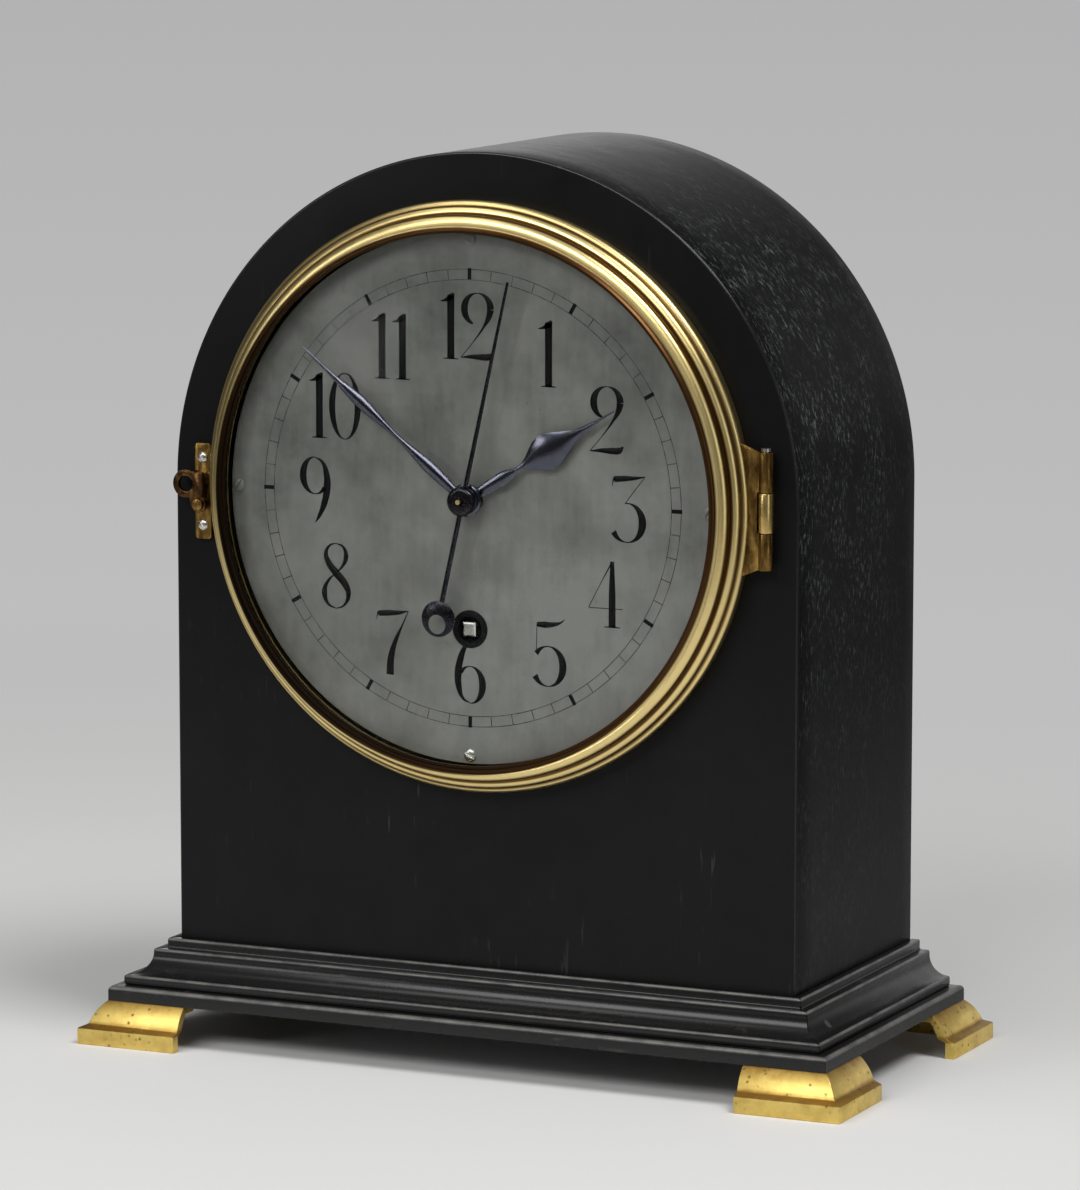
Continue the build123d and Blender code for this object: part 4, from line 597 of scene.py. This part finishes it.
def rim(piece, inside, width, steps=4):
    """Round over the edges that lie inside a test."""
    edit(piece)
    pick(piece, "EDGE", inside)
    bpy.ops.mesh.bevel(offset=width, segments=steps, profile=0.5, affect="EDGES")
    tidy()
    return piece


def rod(name, radius, front, back, spot, steps=ROUND):
    """Plain rod along y, as a tool or the start of a piece."""
    settle()
    bpy.ops.mesh.primitive_cylinder_add(vertices=steps, radius=radius, depth=back - front,
                                        location=(spot.x, (front + back) / 2, spot.z),
                                        rotation=(pi / 2, 0, 0))
    return named(name)


def from_axis(p):
    """Distance from the arch's axis, or from the case's middle plane below it."""
    return hypot(p.x, max(p.z - centre.z, 0))


def two_finishes(piece):
    """Polished board whose outer rim has the finish of the case's sides."""
    piece.data.materials.append(front_black)
    piece.data.materials.append(shell_black)
    edit(piece)
    pick(piece, "FACE", lambda p: from_axis(p) > case_half - 0.02 * MM)
    piece.active_material_index = 1
    bpy.ops.object.material_slot_assign()
    tidy()


# Case: front board with a worn front edge, bent sides, back frame and back door
near = 0.1 * MM        # how close to a face an edge counts as its rim
board_round, back_round = 0.6 * MM, 0.9 * MM
case_board = arch("case_board", board_low, board_high)
rim(case_board, lambda p: p.y < case_front + near, board_round)
cut(case_board, rod("dial_opening", dial_hole, board_low.y - MM, board_high.y + MM, centre))
two_finishes(case_board)
edit(case_board)
worn_edge = board_round + near
pick(case_board, "FACE", lambda p: p.y < case_front + worn_edge and from_axis(p) > case_half - worn_edge)
case_board.data.materials.append(moulding_black)
case_board.active_material_index = 2
bpy.ops.object.material_slot_assign()
tidy()
dress(smooth(case_board), None, "case", "ebonised_wood", "case_front_board")

shell_low, shell_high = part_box("case_shell")
case_sides = arch("case_sides", shell_low, shell_high)
side_wall = 10         # thickness in mm; the hollow runs past the ends and the foot of the sides
cut(case_sides, arch("hollow", shell_low + Vector((side_wall, -5, -20)) * MM,
                     shell_high + Vector((-side_wall, 5, -side_wall)) * MM))
dress(smooth(case_sides), shell_black, "case", "ebonised_wood", "case_shell")

frame_low, frame_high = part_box("back_frame")
door_low, door_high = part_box("back_door")
door_gap = 0.6 * MM
door_room = Vector((door_gap, 9 * MM, door_gap))
back_surround = arch("back_surround", frame_low, frame_high)
cut(back_surround, arch("door_opening", door_low - door_room, door_high + door_room))
rim(back_surround, lambda p: p.y > frame_high.y - near and from_axis(p) > case_half - near, back_round)
two_finishes(back_surround)
dress(smooth(back_surround), None, "case", "ebonised_wood", "back_frame")

door_board = arch("door_board", door_low, door_high)
rim(door_board, lambda p: p.y > door_high.y - near, board_round)
dress(smooth(door_board), front_black, "back_door", "ebonised_wood", "back_door")

# Base slab, three mitred mouldings and four brass bracket feet
settle()
bpy.ops.mesh.primitive_cube_add(size=1, location=(slab_low + slab_high) / 2, scale=slab_high - slab_low)
slab = named("slab")
slab_round = 1.3 * MM
rim(slab, lambda p: p.z > slab_high.z - near, slab_round)
dress(smooth(slab), slab_black, "case", "ebonised_wood", "base_slab")

plinth_low, plinth_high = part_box("plinth_front")
moulding_round = 0.5 * MM
cove = bow(TOE, COVE_MIDDLE, COVE_TOP, 10)
profile = [(0, 0), (TOE[0], 0), TOE] + cove + [STEP, (LIP[0], STEP[1]), LIP, (0, LIP[1])]
profile = [(out * MM, plinth_low.z + up * MM) for out, up in profile]
corner = Vector((case_half, case_front, 0))
front_run = drawn("front_moulding", [(plinth_low.x, case_front - out, up) for out, up in profile],
                  (plinth_high.x - plinth_low.x, 0, 0))
sawn(front_run, corner, (1, 1, 0))
sawn(front_run, (-case_half, case_front, 0), (-1, 1, 0))
dress(smooth(ease(front_run, moulding_round, 3)), moulding_black, "case", "ebonised_wood", "plinth_front")
for side, hand in ((1, "right"), (-1, "left")):
    run_low, run_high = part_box("plinth_" + hand)
    run = drawn(hand + "_moulding", [(side * (case_half + out), run_high.y, up) for out, up in profile],
                (0, run_low.y - run_high.y, 0))
    sawn(run, (side * case_half, case_front, 0), (-side, -1, 0))
    dress(smooth(ease(run, moulding_round, 3)), moulding_black, "case", "ebonised_wood", "plinth_" + hand)

# Profile of a foot in mm: out from the slab's edge, up from the floor
FOOT_TOE = (6.6, 4.6)
FOOT_LEDGE = (4.2, 5.6)
OVOLO_MIDDLE = (2.6, 9.13)
FOOT_TOP = (0, 12.0)


def foot_block(name, inner, size):
    """Block at the front right: a square carried up the profile, shrinking towards its inner corner."""
    steps = [FOOT_TOE, FOOT_LEDGE] + bow(FOOT_LEDGE, OVOLO_MIDDLE, FOOT_TOP, 10)
    settle()
    bpy.ops.mesh.primitive_plane_add(size=size, location=inner + Vector((size / 2, -size / 2, 0)))
    piece = named(name)
    edit(piece)
    height, span = 0.0, size
    for out, up in steps:
        bpy.ops.mesh.extrude_region_move(TRANSFORM_OT_translate={"value": (0, 0, up * MM - height)})
        wanted = size + (out - FOOT_TOE[0]) * MM
        bpy.ops.transform.resize(value=(wanted / span, wanted / span, 1), center_override=inner)
        height, span = up * MM, wanted
    tidy()
    return piece


# One hollow corner bracket, open at its inner ends, with a top in its corner; the others mirror it
foot_low, foot_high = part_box("foot_front_right")
foot_inner = Vector((foot_low.x, foot_high.y, 0))
foot_size = foot_high.x - foot_low.x
wall, web, flange, gusset = 2.8 * MM, 2.0 * MM, 5.5 * MM, 16.0 * MM
first_foot = foot_block("bracket_foot_front_right", foot_inner, foot_size)
ease(first_foot, 0.3 * MM)
back_off = Vector((-wall, wall, -0.01 * MM))
hollow = foot_block("foot_hollow", foot_inner + 2 * back_off, foot_size - back_off.x)
sawn(hollow, (0, 0, foot_high.z - web), (0, 0, 1))
cut(first_foot, hollow)
edge = Vector((slab_high.x, slab_low.y, foot_high.z - web))
arms = [(flange, gusset), (flange, foot_size), (foot_size, foot_size), (foot_size, flange),
        (gusset, flange), (gusset, gusset)]
arm_tool = drawn("arm_tool", [edge + Vector((-a, b, 0)) for a, b in arms], (0, 0, 2 * web))
cut(first_foot, arm_tool)
for name, x, y in (("front_left", -1, 1), ("rear_right", 1, -1), ("rear_left", -1, -1)):
    take(first_foot)
    bpy.ops.object.duplicate()
    foot = bpy.context.object
    foot.scale = (x, y, 1)
    foot = named("bracket_foot_" + name)
    edit(foot)
    tidy()
    dress(smooth(foot), cast_brass, "case", "polished_brass", "foot_" + name)
dress(smooth(first_foot), cast_brass, "case", "polished_brass", "foot_front_right")

# Dial, its ring, minute track and numerals
dial_back = dial_high.y
centre_hole, dial_edge, mount_edge = 3.9 * MM, 0.2 * MM, 0.3 * MM
face = spun("dial_face", [(centre_hole, dial_front + 0.1 * MM), (centre_hole + 0.1 * MM, dial_front),
                          (dial_radius - dial_edge, dial_front), (dial_radius, dial_front + dial_edge),
                          (dial_radius, dial_back), (centre_hole, dial_back)])
arbor_low, arbor_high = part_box("barrel_arbor")
winding_spot = (arbor_low + arbor_high) / 2
winding_hole = 4.5 * MM
cut(face, rod("winding_hole", winding_hole, dial_front - MM, dial_back + MM, winding_spot, 64))
dress(smooth(face), silvering, "case", "silvered_dial", "dial_plate")

ring_low, ring_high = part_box("dial_mount_ring")
ring_radius = ring_high.x
mount = spun("dial_mount", [(dial_hole, ring_low.y), (ring_radius - mount_edge, ring_low.y),
                            (ring_radius, ring_low.y + mount_edge), (ring_radius, ring_high.y),
                            (dial_hole, ring_high.y)])
dress(smooth(mount), front_black, "case", "ebonised_wood", "dial_mount_ring")

# Section of the eyelet in mm: radius, and distance out from the dial; its tube ends inside the plate
tube_end = (dial_front - dial_back) / MM + 0.2
lip_section = [(3.6, 0.35), (4.6, 0.35), (5.3, 0.1), (5.3, 0.001), (4.48, 0.001), (4.48, tube_end),
               (3.6, tube_end)]
eyelet = spun("winding_eyelet", [(radius * MM, dial_front - out * MM) for radius, out in lip_section],
              Vector((winding_spot.x, 0, winding_spot.z)), 64)
dress(smooth(eyelet), ink, "case", "blued_steel")

print_height = 0.03 * MM
TRACK = (60.4, 63.3)   # radii of the minute track's two lines, in mm
line_half = 0.11
track_rings = []
for radius in TRACK:
    settle()
    bpy.ops.mesh.primitive_circle_add(vertices=ROUND, radius=(radius - line_half) * MM,
                                      rotation=(pi / 2, 0, 0), location=(0, dial_front, centre.z))
    line = named("track_line")
    edit(line)
    bpy.ops.mesh.extrude_region_move()
    grow = (radius + line_half) / (radius - line_half)
    bpy.ops.transform.resize(value=(grow, 1, grow), center_override=(0, dial_front, centre.z))
    tidy()
    track_rings.append(line)


def tick(name, low, high, half, turns):
    """Short radial marks between two circles, one spun round to the others."""
    low, high, half = low * MM, high * MM, half * MM
    piece = trace(name, [(x, dial_front, centre.z + r) for x, r in
                         ((-half, low), (half, low), (half, high), (-half, high))])
    bpy.ops.mesh.spin(steps=turns, dupli=True, angle=tau, center=centre, axis=(0, 1, 0))
    tidy()
    return piece


track_rings.append(tick("minute_marks", *TRACK, 0.13, 60))
minute_track = joined("minute_track", *track_rings)
modify(minute_track, "SOLIDIFY", thickness=print_height, offset=0)
dress(minute_track, track_ink, "case", "silvered_dial")
five_marks = tick("five_minute_marks", 60.5, 63.6, 0.55, 12)
modify(five_marks, "SOLIDIFY", thickness=2 * print_height, offset=0)
dress(five_marks, ink, "case", "silvered_dial")


HAIR = 0.0055          # half width of a hairline, as a share of the numeral's height


def oval(x, y, wide, high, first, last, thick, steps=10):
    """Stroke along part of an oval, thick at its sides and a hairline at top and bottom."""
    points = []
    for i in range(steps + 1):
        angle = radians(first + (last - first) * i / steps)
        swell = abs(cos(angle)) ** 1.6
        points.append((x + wide * cos(angle), y + high * sin(angle), HAIR + (thick - HAIR) * swell))
    return points


# Strokes of the numerals, one high: across, up and half width at points along each
figures = {
    "0": [oval(0, 0.5, 0.215, 0.5, 90, 270, 0.052), oval(0, 0.5, 0.215, 0.5, 90, -90, 0.052)],
    "1": [[(0, 0.005, 0.058), (0, 0.5, 0.056), (0, 0.955, 0.06)],
          [(-0.17, 0.865, HAIR), (-0.09, 0.88, 0.022), (0.0, 0.93, 0.05), (0.05, 0.985, 0.02)],
          [(-0.125, 0.006, HAIR), (0, 0.012, 0.014), (0.125, 0.006, HAIR)]],
    "2": [oval(0.0, 0.765, 0.215, 0.235, 250, 0, 0.056, steps=14),
          [(0.215, 0.765, 0.056), (0.19, 0.66, 0.045), (0.1, 0.5, 0.018), (-0.08, 0.26, HAIR),
           (-0.27, 0.04, HAIR)],
          [(-0.27, 0.035, HAIR), (-0.1, 0.05, 0.03), (0.08, 0.05, 0.048), (0.2, 0.062, 0.05),
           (0.265, 0.12, 0.012)]],
    "3": [[(-0.225, 0.93, 0.045), (-0.06, 0.945, 0.042), (0.12, 0.96, 0.025), (0.27, 0.985, HAIR)],
          [(-0.22, 0.95, 0.02), (-0.25, 0.88, HAIR), (-0.255, 0.83, HAIR)],
          [(0.27, 0.985, HAIR), (0.1, 0.77, HAIR), (-0.05, 0.575, HAIR)],
          oval(-0.02, 0.29, 0.25, 0.29, 98, -150, 0.06, steps=14)],
    "4": [[(0.09, 0.01, 0.056), (0.09, 0.5, 0.054), (0.09, 0.99, 0.03)],
          [(0.09, 0.99, 0.012), (-0.1, 0.65, HAIR), (-0.29, 0.29, HAIR)],
          [(-0.29, 0.285, HAIR), (0, 0.285, HAIR), (0.26, 0.285, HAIR)],
          [(-0.04, 0.006, HAIR), (0.09, 0.012, 0.014), (0.22, 0.006, HAIR)]],
    "5": [[(-0.185, 0.925, 0.035), (-0.06, 0.925, 0.048), (0.1, 0.94, 0.032), (0.2, 0.97, 0.014),
           (0.26, 1.02, HAIR)],
          [(-0.19, 0.94, HAIR), (-0.195, 0.7, HAIR), (-0.2, 0.49, HAIR)],
          oval(-0.01, 0.3, 0.245, 0.3, 142, -150, 0.06, steps=14)],
    "6": [[(0.0, 0.995, HAIR), (-0.06, 0.9, 0.028), (-0.15, 0.7, 0.05), (-0.2, 0.45, 0.06),
           (-0.19, 0.25, 0.05), (-0.12, 0.07, 0.024), (0.0, 0.004, HAIR)],
          oval(0.0, 0.28, 0.205, 0.28, -90, 138, 0.056, steps=14)],
    "7": [[(-0.235, 0.925, 0.04), (-0.06, 0.94, 0.044), (0.12, 0.955, 0.03), (0.265, 0.985, HAIR)],
          [(-0.235, 0.95, 0.02), (-0.26, 0.88, HAIR), (-0.265, 0.83, HAIR)],
          [(0.265, 0.985, HAIR), (0.17, 0.78, 0.012), (0.04, 0.5, 0.036), (-0.03, 0.25, 0.055),
           (-0.045, 0.0, 0.062)]],
    "8": [[(0.0, 0.996, HAIR), (-0.1, 0.965, 0.016), (-0.17, 0.85, 0.032), (-0.13, 0.7, 0.05),
           (0.0, 0.545, 0.062), (0.15, 0.38, 0.056), (0.205, 0.23, 0.04), (0.13, 0.06, 0.016),
           (0.0, 0.004, HAIR)],
          [(0.0, 0.996, HAIR), (0.12, 0.95, 0.02), (0.165, 0.8, 0.04), (0.11, 0.66, 0.022),
           (0.0, 0.55, HAIR)],
          [(0.0, 0.55, HAIR), (-0.15, 0.4, 0.024), (-0.2, 0.23, 0.046), (-0.13, 0.06, 0.02),
           (0.0, 0.004, HAIR)]],
}
figures["9"] = [[(-across, 1 - up, half) for across, up, half in stroke] for stroke in figures["6"]]
hours = {hour: [(str(hour), 0)] for hour in range(1, 10)}
hours[10] = [("1", -0.27), ("0", 0.16)]
hours[11] = [("1", -0.16), ("1", 0.18)]
hours[12] = [("1", -0.31), ("2", 0.13)]
numeral_height = 18.4 * MM
numeral_ring = 47.6 * MM


def numeral(hour):
    """One upright numeral as flat ribbons whose width follows each stroke."""
    settle()
    angle = radians(30 * hour)
    spot = (numeral_ring * sin(angle), dial_front, centre.z + numeral_ring * cos(angle))
    bpy.ops.object.add(type="CURVE", location=spot, rotation=(pi / 2, 0, 0))
    piece = bpy.context.object
    curve = piece.data
    curve.dimensions = "3D"
    curve.twist_mode = "Z_UP"
    curve.resolution_u = 8
    curve.extrude = 1.0
    for figure, shift in hours[hour]:
        for stroke in figures[figure]:
            spline = curve.splines.new("BEZIER")
            spline.bezier_points.add(len(stroke) - 1)
            for point, (across, up, half) in zip(spline.bezier_points, stroke):
                point.co = ((across + shift) * numeral_height, (up - 0.5) * numeral_height, 0)
                point.radius = half * numeral_height
                point.tilt = pi / 2
                point.handle_left_type = "AUTO"
                point.handle_right_type = "AUTO"
    bpy.ops.object.convert(target="MESH")
    piece = named(f"numeral_{hour}")
    modify(piece, "SOLIDIFY", thickness=2 * print_height, offset=0)
    return dress(piece, ink, "case", "silvered_dial")


for hour in hours:
    numeral(hour)


def slotted_head(name, spot, front, radius, height, slot_turn, material):
    """Low domed screw head with a cut slot; a negative height makes one that faces the back."""
    dome = [(0, 0), (0.55, 0.06), (0.85, 0.3), (1, 0.65), (1, 1), (0, 1)]
    piece = spun(name, [(radius * out, front + height * down) for out, down in dome],
                 Vector((spot[0], 0, spot[1])), FINE)
    settle()
    bpy.ops.mesh.primitive_cube_add(size=1, location=(spot[0], front, spot[1]), rotation=(0, slot_turn, 0),
                                    scale=(3 * radius, abs(height) * 0.9, 0.28 * radius))
    cut(piece, named("slot_tool"))
    piece.data.materials.append(material)
    return smooth(piece)


screw_low, screw_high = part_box("dial_screws")
dial_screw, latch_screw, hinge_screw = 1.8 * MM, 1.5 * MM, 1.7 * MM
screw_ring = screw_high.x - dial_screw
dial_heads = []
for step in range(4):
    angle = step * pi / 2
    dial_heads.append(slotted_head(f"dial_screw_{3 * step or 12}",
                                   (screw_ring * sin(angle), centre.z + screw_ring * cos(angle)),
                                   screw_low.y, dial_screw, dial_front - screw_low.y, angle + 0.5,
                                   steel if step == 2 else silvering))
dress(joined("dial_screw_heads", *dial_heads), None, "case", "bright_steel", "dial_screws")

latch_low, latch_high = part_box("latch_screws")
latch_x = (latch_low.x + latch_high.x) / 2
latch_heads = [slotted_head("latch_screw_" + name, (latch_x, z), latch_low.y, latch_screw, 0.72 * MM, 0.9,
                            steel)
               for name, z in (("top", latch_high.z - latch_screw), ("bottom", latch_low.z + latch_screw))]
dress(joined("latch_screw_heads", *latch_heads), None, "case", "bright_steel", "latch_screws")

# Back hinges: two screws in each leaf, proud of it by their heads
knuckle, leaf_reach, leaf_proud, head_height = 8 * MM, 5.6 * MM, 1.5 * MM, 0.5 * MM
axis_x = (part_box("back_hinge_door_leaves")[0].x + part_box("back_hinge_frame_leaves")[1].x) / 2
for leaves, body, side in (("back_hinge_frame_leaves", "case", 1),
                           ("back_hinge_door_leaves", "back_door", -1)):
    leaves_low, leaves_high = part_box(leaves)
    heights = [leaves_low.z + knuckle / 2, leaves_low.z + 2.5 * knuckle, leaves_high.z - 2.5 * knuckle,
               leaves_high.z - knuckle / 2]
    heads = [slotted_head(f"{leaves}_screw_{i}", (axis_x + side * leaf_reach, z), frame_high.y + leaf_proud,
                          hinge_screw, -head_height, 0.4 + i, small_brass) for i, z in enumerate(heights)]
    dress(joined(leaves + "_screws", *heads), None, body, "polished_brass")

# Bezel and its glass, turned; the bezel's section in mm is its radius and the distance out from the case
bead = [(73.5, 11.6), (73.5, 10.72), (75.5, 10.12), (75.5, 7.0), (77.2, 7.0), (77.2, 0.3), (81.4, 0.3),
        (81.4, 2.6)]
bead += bow(bead[-1], (82.0, 4.2), (80.7, 5.4), 8)
bead += bow((80.7, 5.4), (80.1, 7.0), (78.6, 7.7), 8)
bead.append((78.2, 7.7))
bead += bow(bead[-1], (77.9, 9.8), (76.2, 10.75), 8)
bead += bow((76.2, 10.75), (75.4, 10.6), (74.6, 10.95), 6)
bead.append((74.2, 11.6))
bezel = spun("bezel", [(radius * MM, case_front - out * MM) for radius, out in bead])
dress(smooth(bezel), turned_brass, "bezel", "polished_brass", "bezel_ring")

glass_low, glass_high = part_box("bezel_glass")
pane_radius = glass_high.x - 0.05 * MM
sphere, pane_thickness = 260 * MM, 1.3 * MM
sphere_y = glass_low.y + sphere
reaches = [pane_radius * i / 24 for i in range(25)]
outside, inside = ([(out, sphere_y - (radius ** 2 - out ** 2) ** 0.5) for out in reaches]
                   for radius in (sphere, sphere - pane_thickness))
pane = spun("dial_glass", outside + inside[::-1])
dress(smooth(pane), glass, "bezel", "clear_glass", "bezel_glass")


def bellied(name, stations, middle, thick, thin):
    """Bar towards twelve, flat behind and arched in front, resized to (half width, radius) stations."""
    half, reach = stations[0]
    settle()
    bpy.ops.mesh.primitive_circle_add(vertices=24, radius=half * MM, fill_type="NGON",
                                      location=(0, middle, centre.z + reach * MM))
    piece = named(name)
    edit(piece)
    pick(piece, "VERT", lambda p: p.y > middle + 0.001 * MM)
    bpy.ops.transform.resize(value=(1, 0.05, 1), center_override=(0, middle, 0))
    for step in range(1, 6):
        angle = tau * step / 24
        pick(piece, "VERT", lambda p: abs(abs(p.x) - half * MM * sin(angle)) < 0.002 * MM)
        bpy.ops.transform.resize(value=(1, cos(angle), 1), center_override=(0, middle, 0))
    bpy.ops.mesh.select_mode(type="FACE")
    bpy.ops.mesh.select_all(action="SELECT")
    wide = max(w for w, r in stations)
    last = half, half
    for w, r in stations:
        h = thin + (thick - thin) * w / wide
        if r != reach:
            bpy.ops.mesh.extrude_region_move(TRANSFORM_OT_translate={"value": (0, 0, (r - reach) * MM)})
        bpy.ops.transform.resize(value=(w / last[0], h / last[1], 1),
                                 center_override=(0, middle, centre.z + r * MM))
        last = w, h
        reach = r
    tidy()
    return piece


def swung(piece, angle):
    """Turn a finished piece clockwise about the dial axis."""
    take(piece)
    bpy.context.scene.cursor.location = centre
    bpy.ops.object.origin_set(type="ORIGIN_CURSOR")
    piece.rotation_euler = (0, radians(angle), 0)
    return named(piece.name)


def between(stations, steps=4):
    """More stations along a smooth line through the given ones."""
    ends = [stations[0]] + stations + [stations[-1]]
    more = []
    for a, b, c, d in zip(ends, ends[1:], ends[2:], ends[3:]):
        for i in range(steps):
            t = i / steps
            more.append(tuple(0.5 * (2 * q + (r - p) * t + (2 * p - 5 * q + 4 * r - s) * t * t
                                     + (3 * q - p - 3 * r + s) * t ** 3) for p, q, r, s in zip(a, b, c, d)))
    return more + [stations[-1]]


def blued_hand(node, body, stations, thick, thin, boss, angle):
    """Bellied bar on a bored boss of (bore, radius, height) in mm, swung to its place on the dial."""
    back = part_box(node)[1].y
    bar = bellied(node + "_bar", between(stations), back - 0.04 * MM, thick, thin)
    bore, radius, height = boss
    section = [(bore, 0), (radius, 0), (radius, height - 0.25), (radius - 0.3, height), (bore, height)]
    ring = spun(node + "_boss", [(out * MM, back - up * MM) for out, up in section], centre, 64)
    piece = swung(joined(node + "_bellied", bar, ring), angle)
    dress(smooth(piece, 50), blued_steel, body, "blued_steel", node)


# Hands: half width and radius in mm along each
blued_hand("hour_hand", "hours", [(1.3, 3.4), (1.9, 13), (0.75, 19.5), (5, 28), (1.7, 37.5), (0.6, 44.5),
                                  (0.2, 51.8)], 0.78, 0.1, (3.2, 4.6, 0.8), 59)
blued_hand("minute_hand", "minutes", [(1.2, 2.7), (1.8, 13.5), (0.8, 24), (0.75, 29), (1.8, 41), (0.7, 52),
                                      (0.2, 63.7)], 0.72, 0.08, (2.4, 3.8, 0.75), 309)

seconds_low, seconds_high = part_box("seconds_hand")
needle_y = seconds_high.y - 0.27 * MM
needle = bellied("needle", [(0.75, -29.2), (0.75, 0.1), (0.42, 62.2)], needle_y + 0.22 * MM, 0.48, 0.3)
poise_spot = Vector((0, 0, centre.z - 33.9 * MM))
poise_section = [(0, -0.25), (4.75, -0.25), (5, -0.05), (5, 0.25), (0, 0.25)]
poise = spun("counterpoise", [(out * MM, needle_y + deep * MM) for out, deep in poise_section],
             poise_spot, 64)
hole_spot = poise_spot - Vector((0, 0, 1.6 * MM))
cut(poise, rod("poise_hole", 2.7 * MM, needle_y - 2 * MM, needle_y + 2 * MM, hole_spot, 48))
hub = spun("hub", [(1.1 * MM, seconds_high.y), (4 * MM, seconds_high.y), (4 * MM, seconds_low.y + 0.6 * MM),
                   (3.4 * MM, seconds_low.y + 0.08 * MM), (2.9 * MM, seconds_low.y),
                   (1.1 * MM, seconds_low.y)], centre, 64)
seconds_shape = swung(joined("seconds_hand_needle", needle, poise, hub), 12.7)
dress(smooth(seconds_shape, 50), black_steel, "seconds", "blued_steel", "seconds_hand")

# Small fittings: a copy of each CAD node, merged, with its edges eased; its body and the rounding in mm
fittings = {"hinge_leaf_bezel": ("bezel", 0.18), "hinge_leaf_case": ("case", 0.15),
            "bezel_catch": ("bezel", 0.15), "latch_plate": ("case", 0.25), "latch_hook": ("latch_hook", 0.25),
            "turn_button": ("turn_button", 0.25), "back_hinge_door_leaves": ("back_door", 0.15),
            "back_hinge_frame_leaves": ("case", 0.15)}
# The latch and bezel-hinge fittings get darker brass: painted shade with tarnish.
shaded_fittings = {"latch_hook": shaded_dark_brass, "latch_plate": shaded_brown_brass, "hinge_leaf_bezel": shaded_brown_brass,
           "bezel_catch": shaded_brown_brass}
for node, (body, width) in fittings.items():
    take(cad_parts[node])
    bpy.ops.object.duplicate()
    piece = bpy.context.object
    piece.parent = None
    piece = named(node + "_eased")
    edit(piece)
    bpy.ops.mesh.remove_doubles(threshold=0.005 * MM)
    bpy.ops.mesh.dissolve_limited(angle_limit=radians(1))
    tidy()
    modify(piece, "BEVEL", width=width * MM, segments=2, limit_method="ANGLE", angle_limit=radians(50),
           use_clamp_overlap=True)
    dress(smooth(piece), shaded_fittings.get(node, small_brass), body, "polished_brass", node)

# CAD nodes that stay get their finish
for slot, material in {"polished_brass": small_brass, "movement_brass": movement_brass,
                       "bright_steel": steel, "blued_steel": blued_steel}.items():
    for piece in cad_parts.values():
        if piece.material_slots[0].material.name == slot:
            piece.material_slots[0].material = material


def floor_paint(place):
    """Pale paper that fades out far from the clock."""
    x, y = place.part("X") + 0.15, place.part("Y") + 0.15
    away = (x * x + y * y) ** 0.5
    fibre = place.noise(700, 4).fit(0.3, 0.7, 0.985, 1)
    shade = fibre * 0.74
    return {"Base Color": shade.mix(grey(0), (1.0, 0.997, 0.99, 1)),
            "Roughness": fibre.fit(0.98, 1, 0.7, 0.8), "Alpha": away.fit(0.3, 0.9, 1, 0)}


# Floor, light and camera
settle()
bpy.ops.mesh.primitive_circle_add(vertices=128, radius=1.6, fill_type="NGON", location=(0, 0, 0))
floor = named("floor")
floor.data.materials.append(finish("pale_paper", {"Specular IOR Level": 0.1}, floor_paint))

scene = bpy.context.scene
scene.view_settings.view_transform = "Standard"
world = bpy.data.worlds.new("studio")
world.use_nodes = True
scene.world = world
tree = world.node_tree
way = Tone(tree, tree.nodes.new("ShaderNodeTexCoord").outputs["Generated"])
rays = tree.nodes.new("ShaderNodeLightPath").outputs
by_camera, by_gloss, through = (Tone(tree, rays[kind]) for kind in
                                ("Is Camera Ray", "Is Glossy Ray", "Is Transmission Ray"))
up = way.part("Z")
behind = way.part("Y").fit(0.5, 0.85, 0, 1)
pale = (up.fit(-0.24, -0.04, 0.575, 0.445) + up.fit(-0.02, 0.09, 0, 0.555)) * up.fit(0.2, 0.42, 1, 0.2)
dim = up.fit(0.55, 0.9, 0.06, 0.2)
wall = pale.mix(grey(0), grey(1))
room = (behind * 0.6).mix(dim.mix(grey(0), grey(1)), wall)
seen = by_camera + (by_gloss + through) * behind
backdrop = seen.mix(room, wall)
tree.links.new(backdrop.socket, tree.nodes["Background"].inputs["Color"])


def softbox(name, spot, aim, size, power):
    """Soft rectangular light at a spot, facing a point."""
    settle()
    bpy.ops.object.light_add(type="AREA", location=spot)
    lamp = bpy.context.object
    lamp.name = name
    lamp.data.shape = "RECTANGLE"
    lamp.data.size, lamp.data.size_y = size
    lamp.data.energy = power
    lamp.rotation_euler = (Vector(aim) - Vector(spot)).to_track_quat("-Z", "Y").to_euler()


softbox("key_right", (0.95, -0.35, 1.75), (0, 0, 0.08), (0.75, 0.75), 21.5)
softbox("fill_front", (-0.35, -1.9, 1.55), (0, 0, 0.14), (2.0, 0.9), 31)
softbox("sheen_left", (-1.2, -1.47, 0.52), (0, 0, 0.16), (0.4, 0.35), 2.4)
softbox("top_left", (-0.7, -0.45, 1.7), (0, 0, 0.1), (0.8, 0.5), 2.6)
softbox("strip_right", (1.25, -0.62, 0.3), (0, 0, 0.15), (0.5, 1.0), 1.5)

settle()
yaw, pitch = 0.4348, 0.1469
bpy.ops.object.camera_add(location=(0.7024, -1.5098, 0.3748))
camera = bpy.context.object
look = Vector((-sin(yaw) * cos(pitch), cos(yaw) * cos(pitch), -sin(pitch)))
camera.rotation_euler = look.to_track_quat("-Z", "Y").to_euler()
camera.data.lens = 180.7
camera.data.sensor_width = 36
camera.data.clip_end = 100
scene.camera = camera
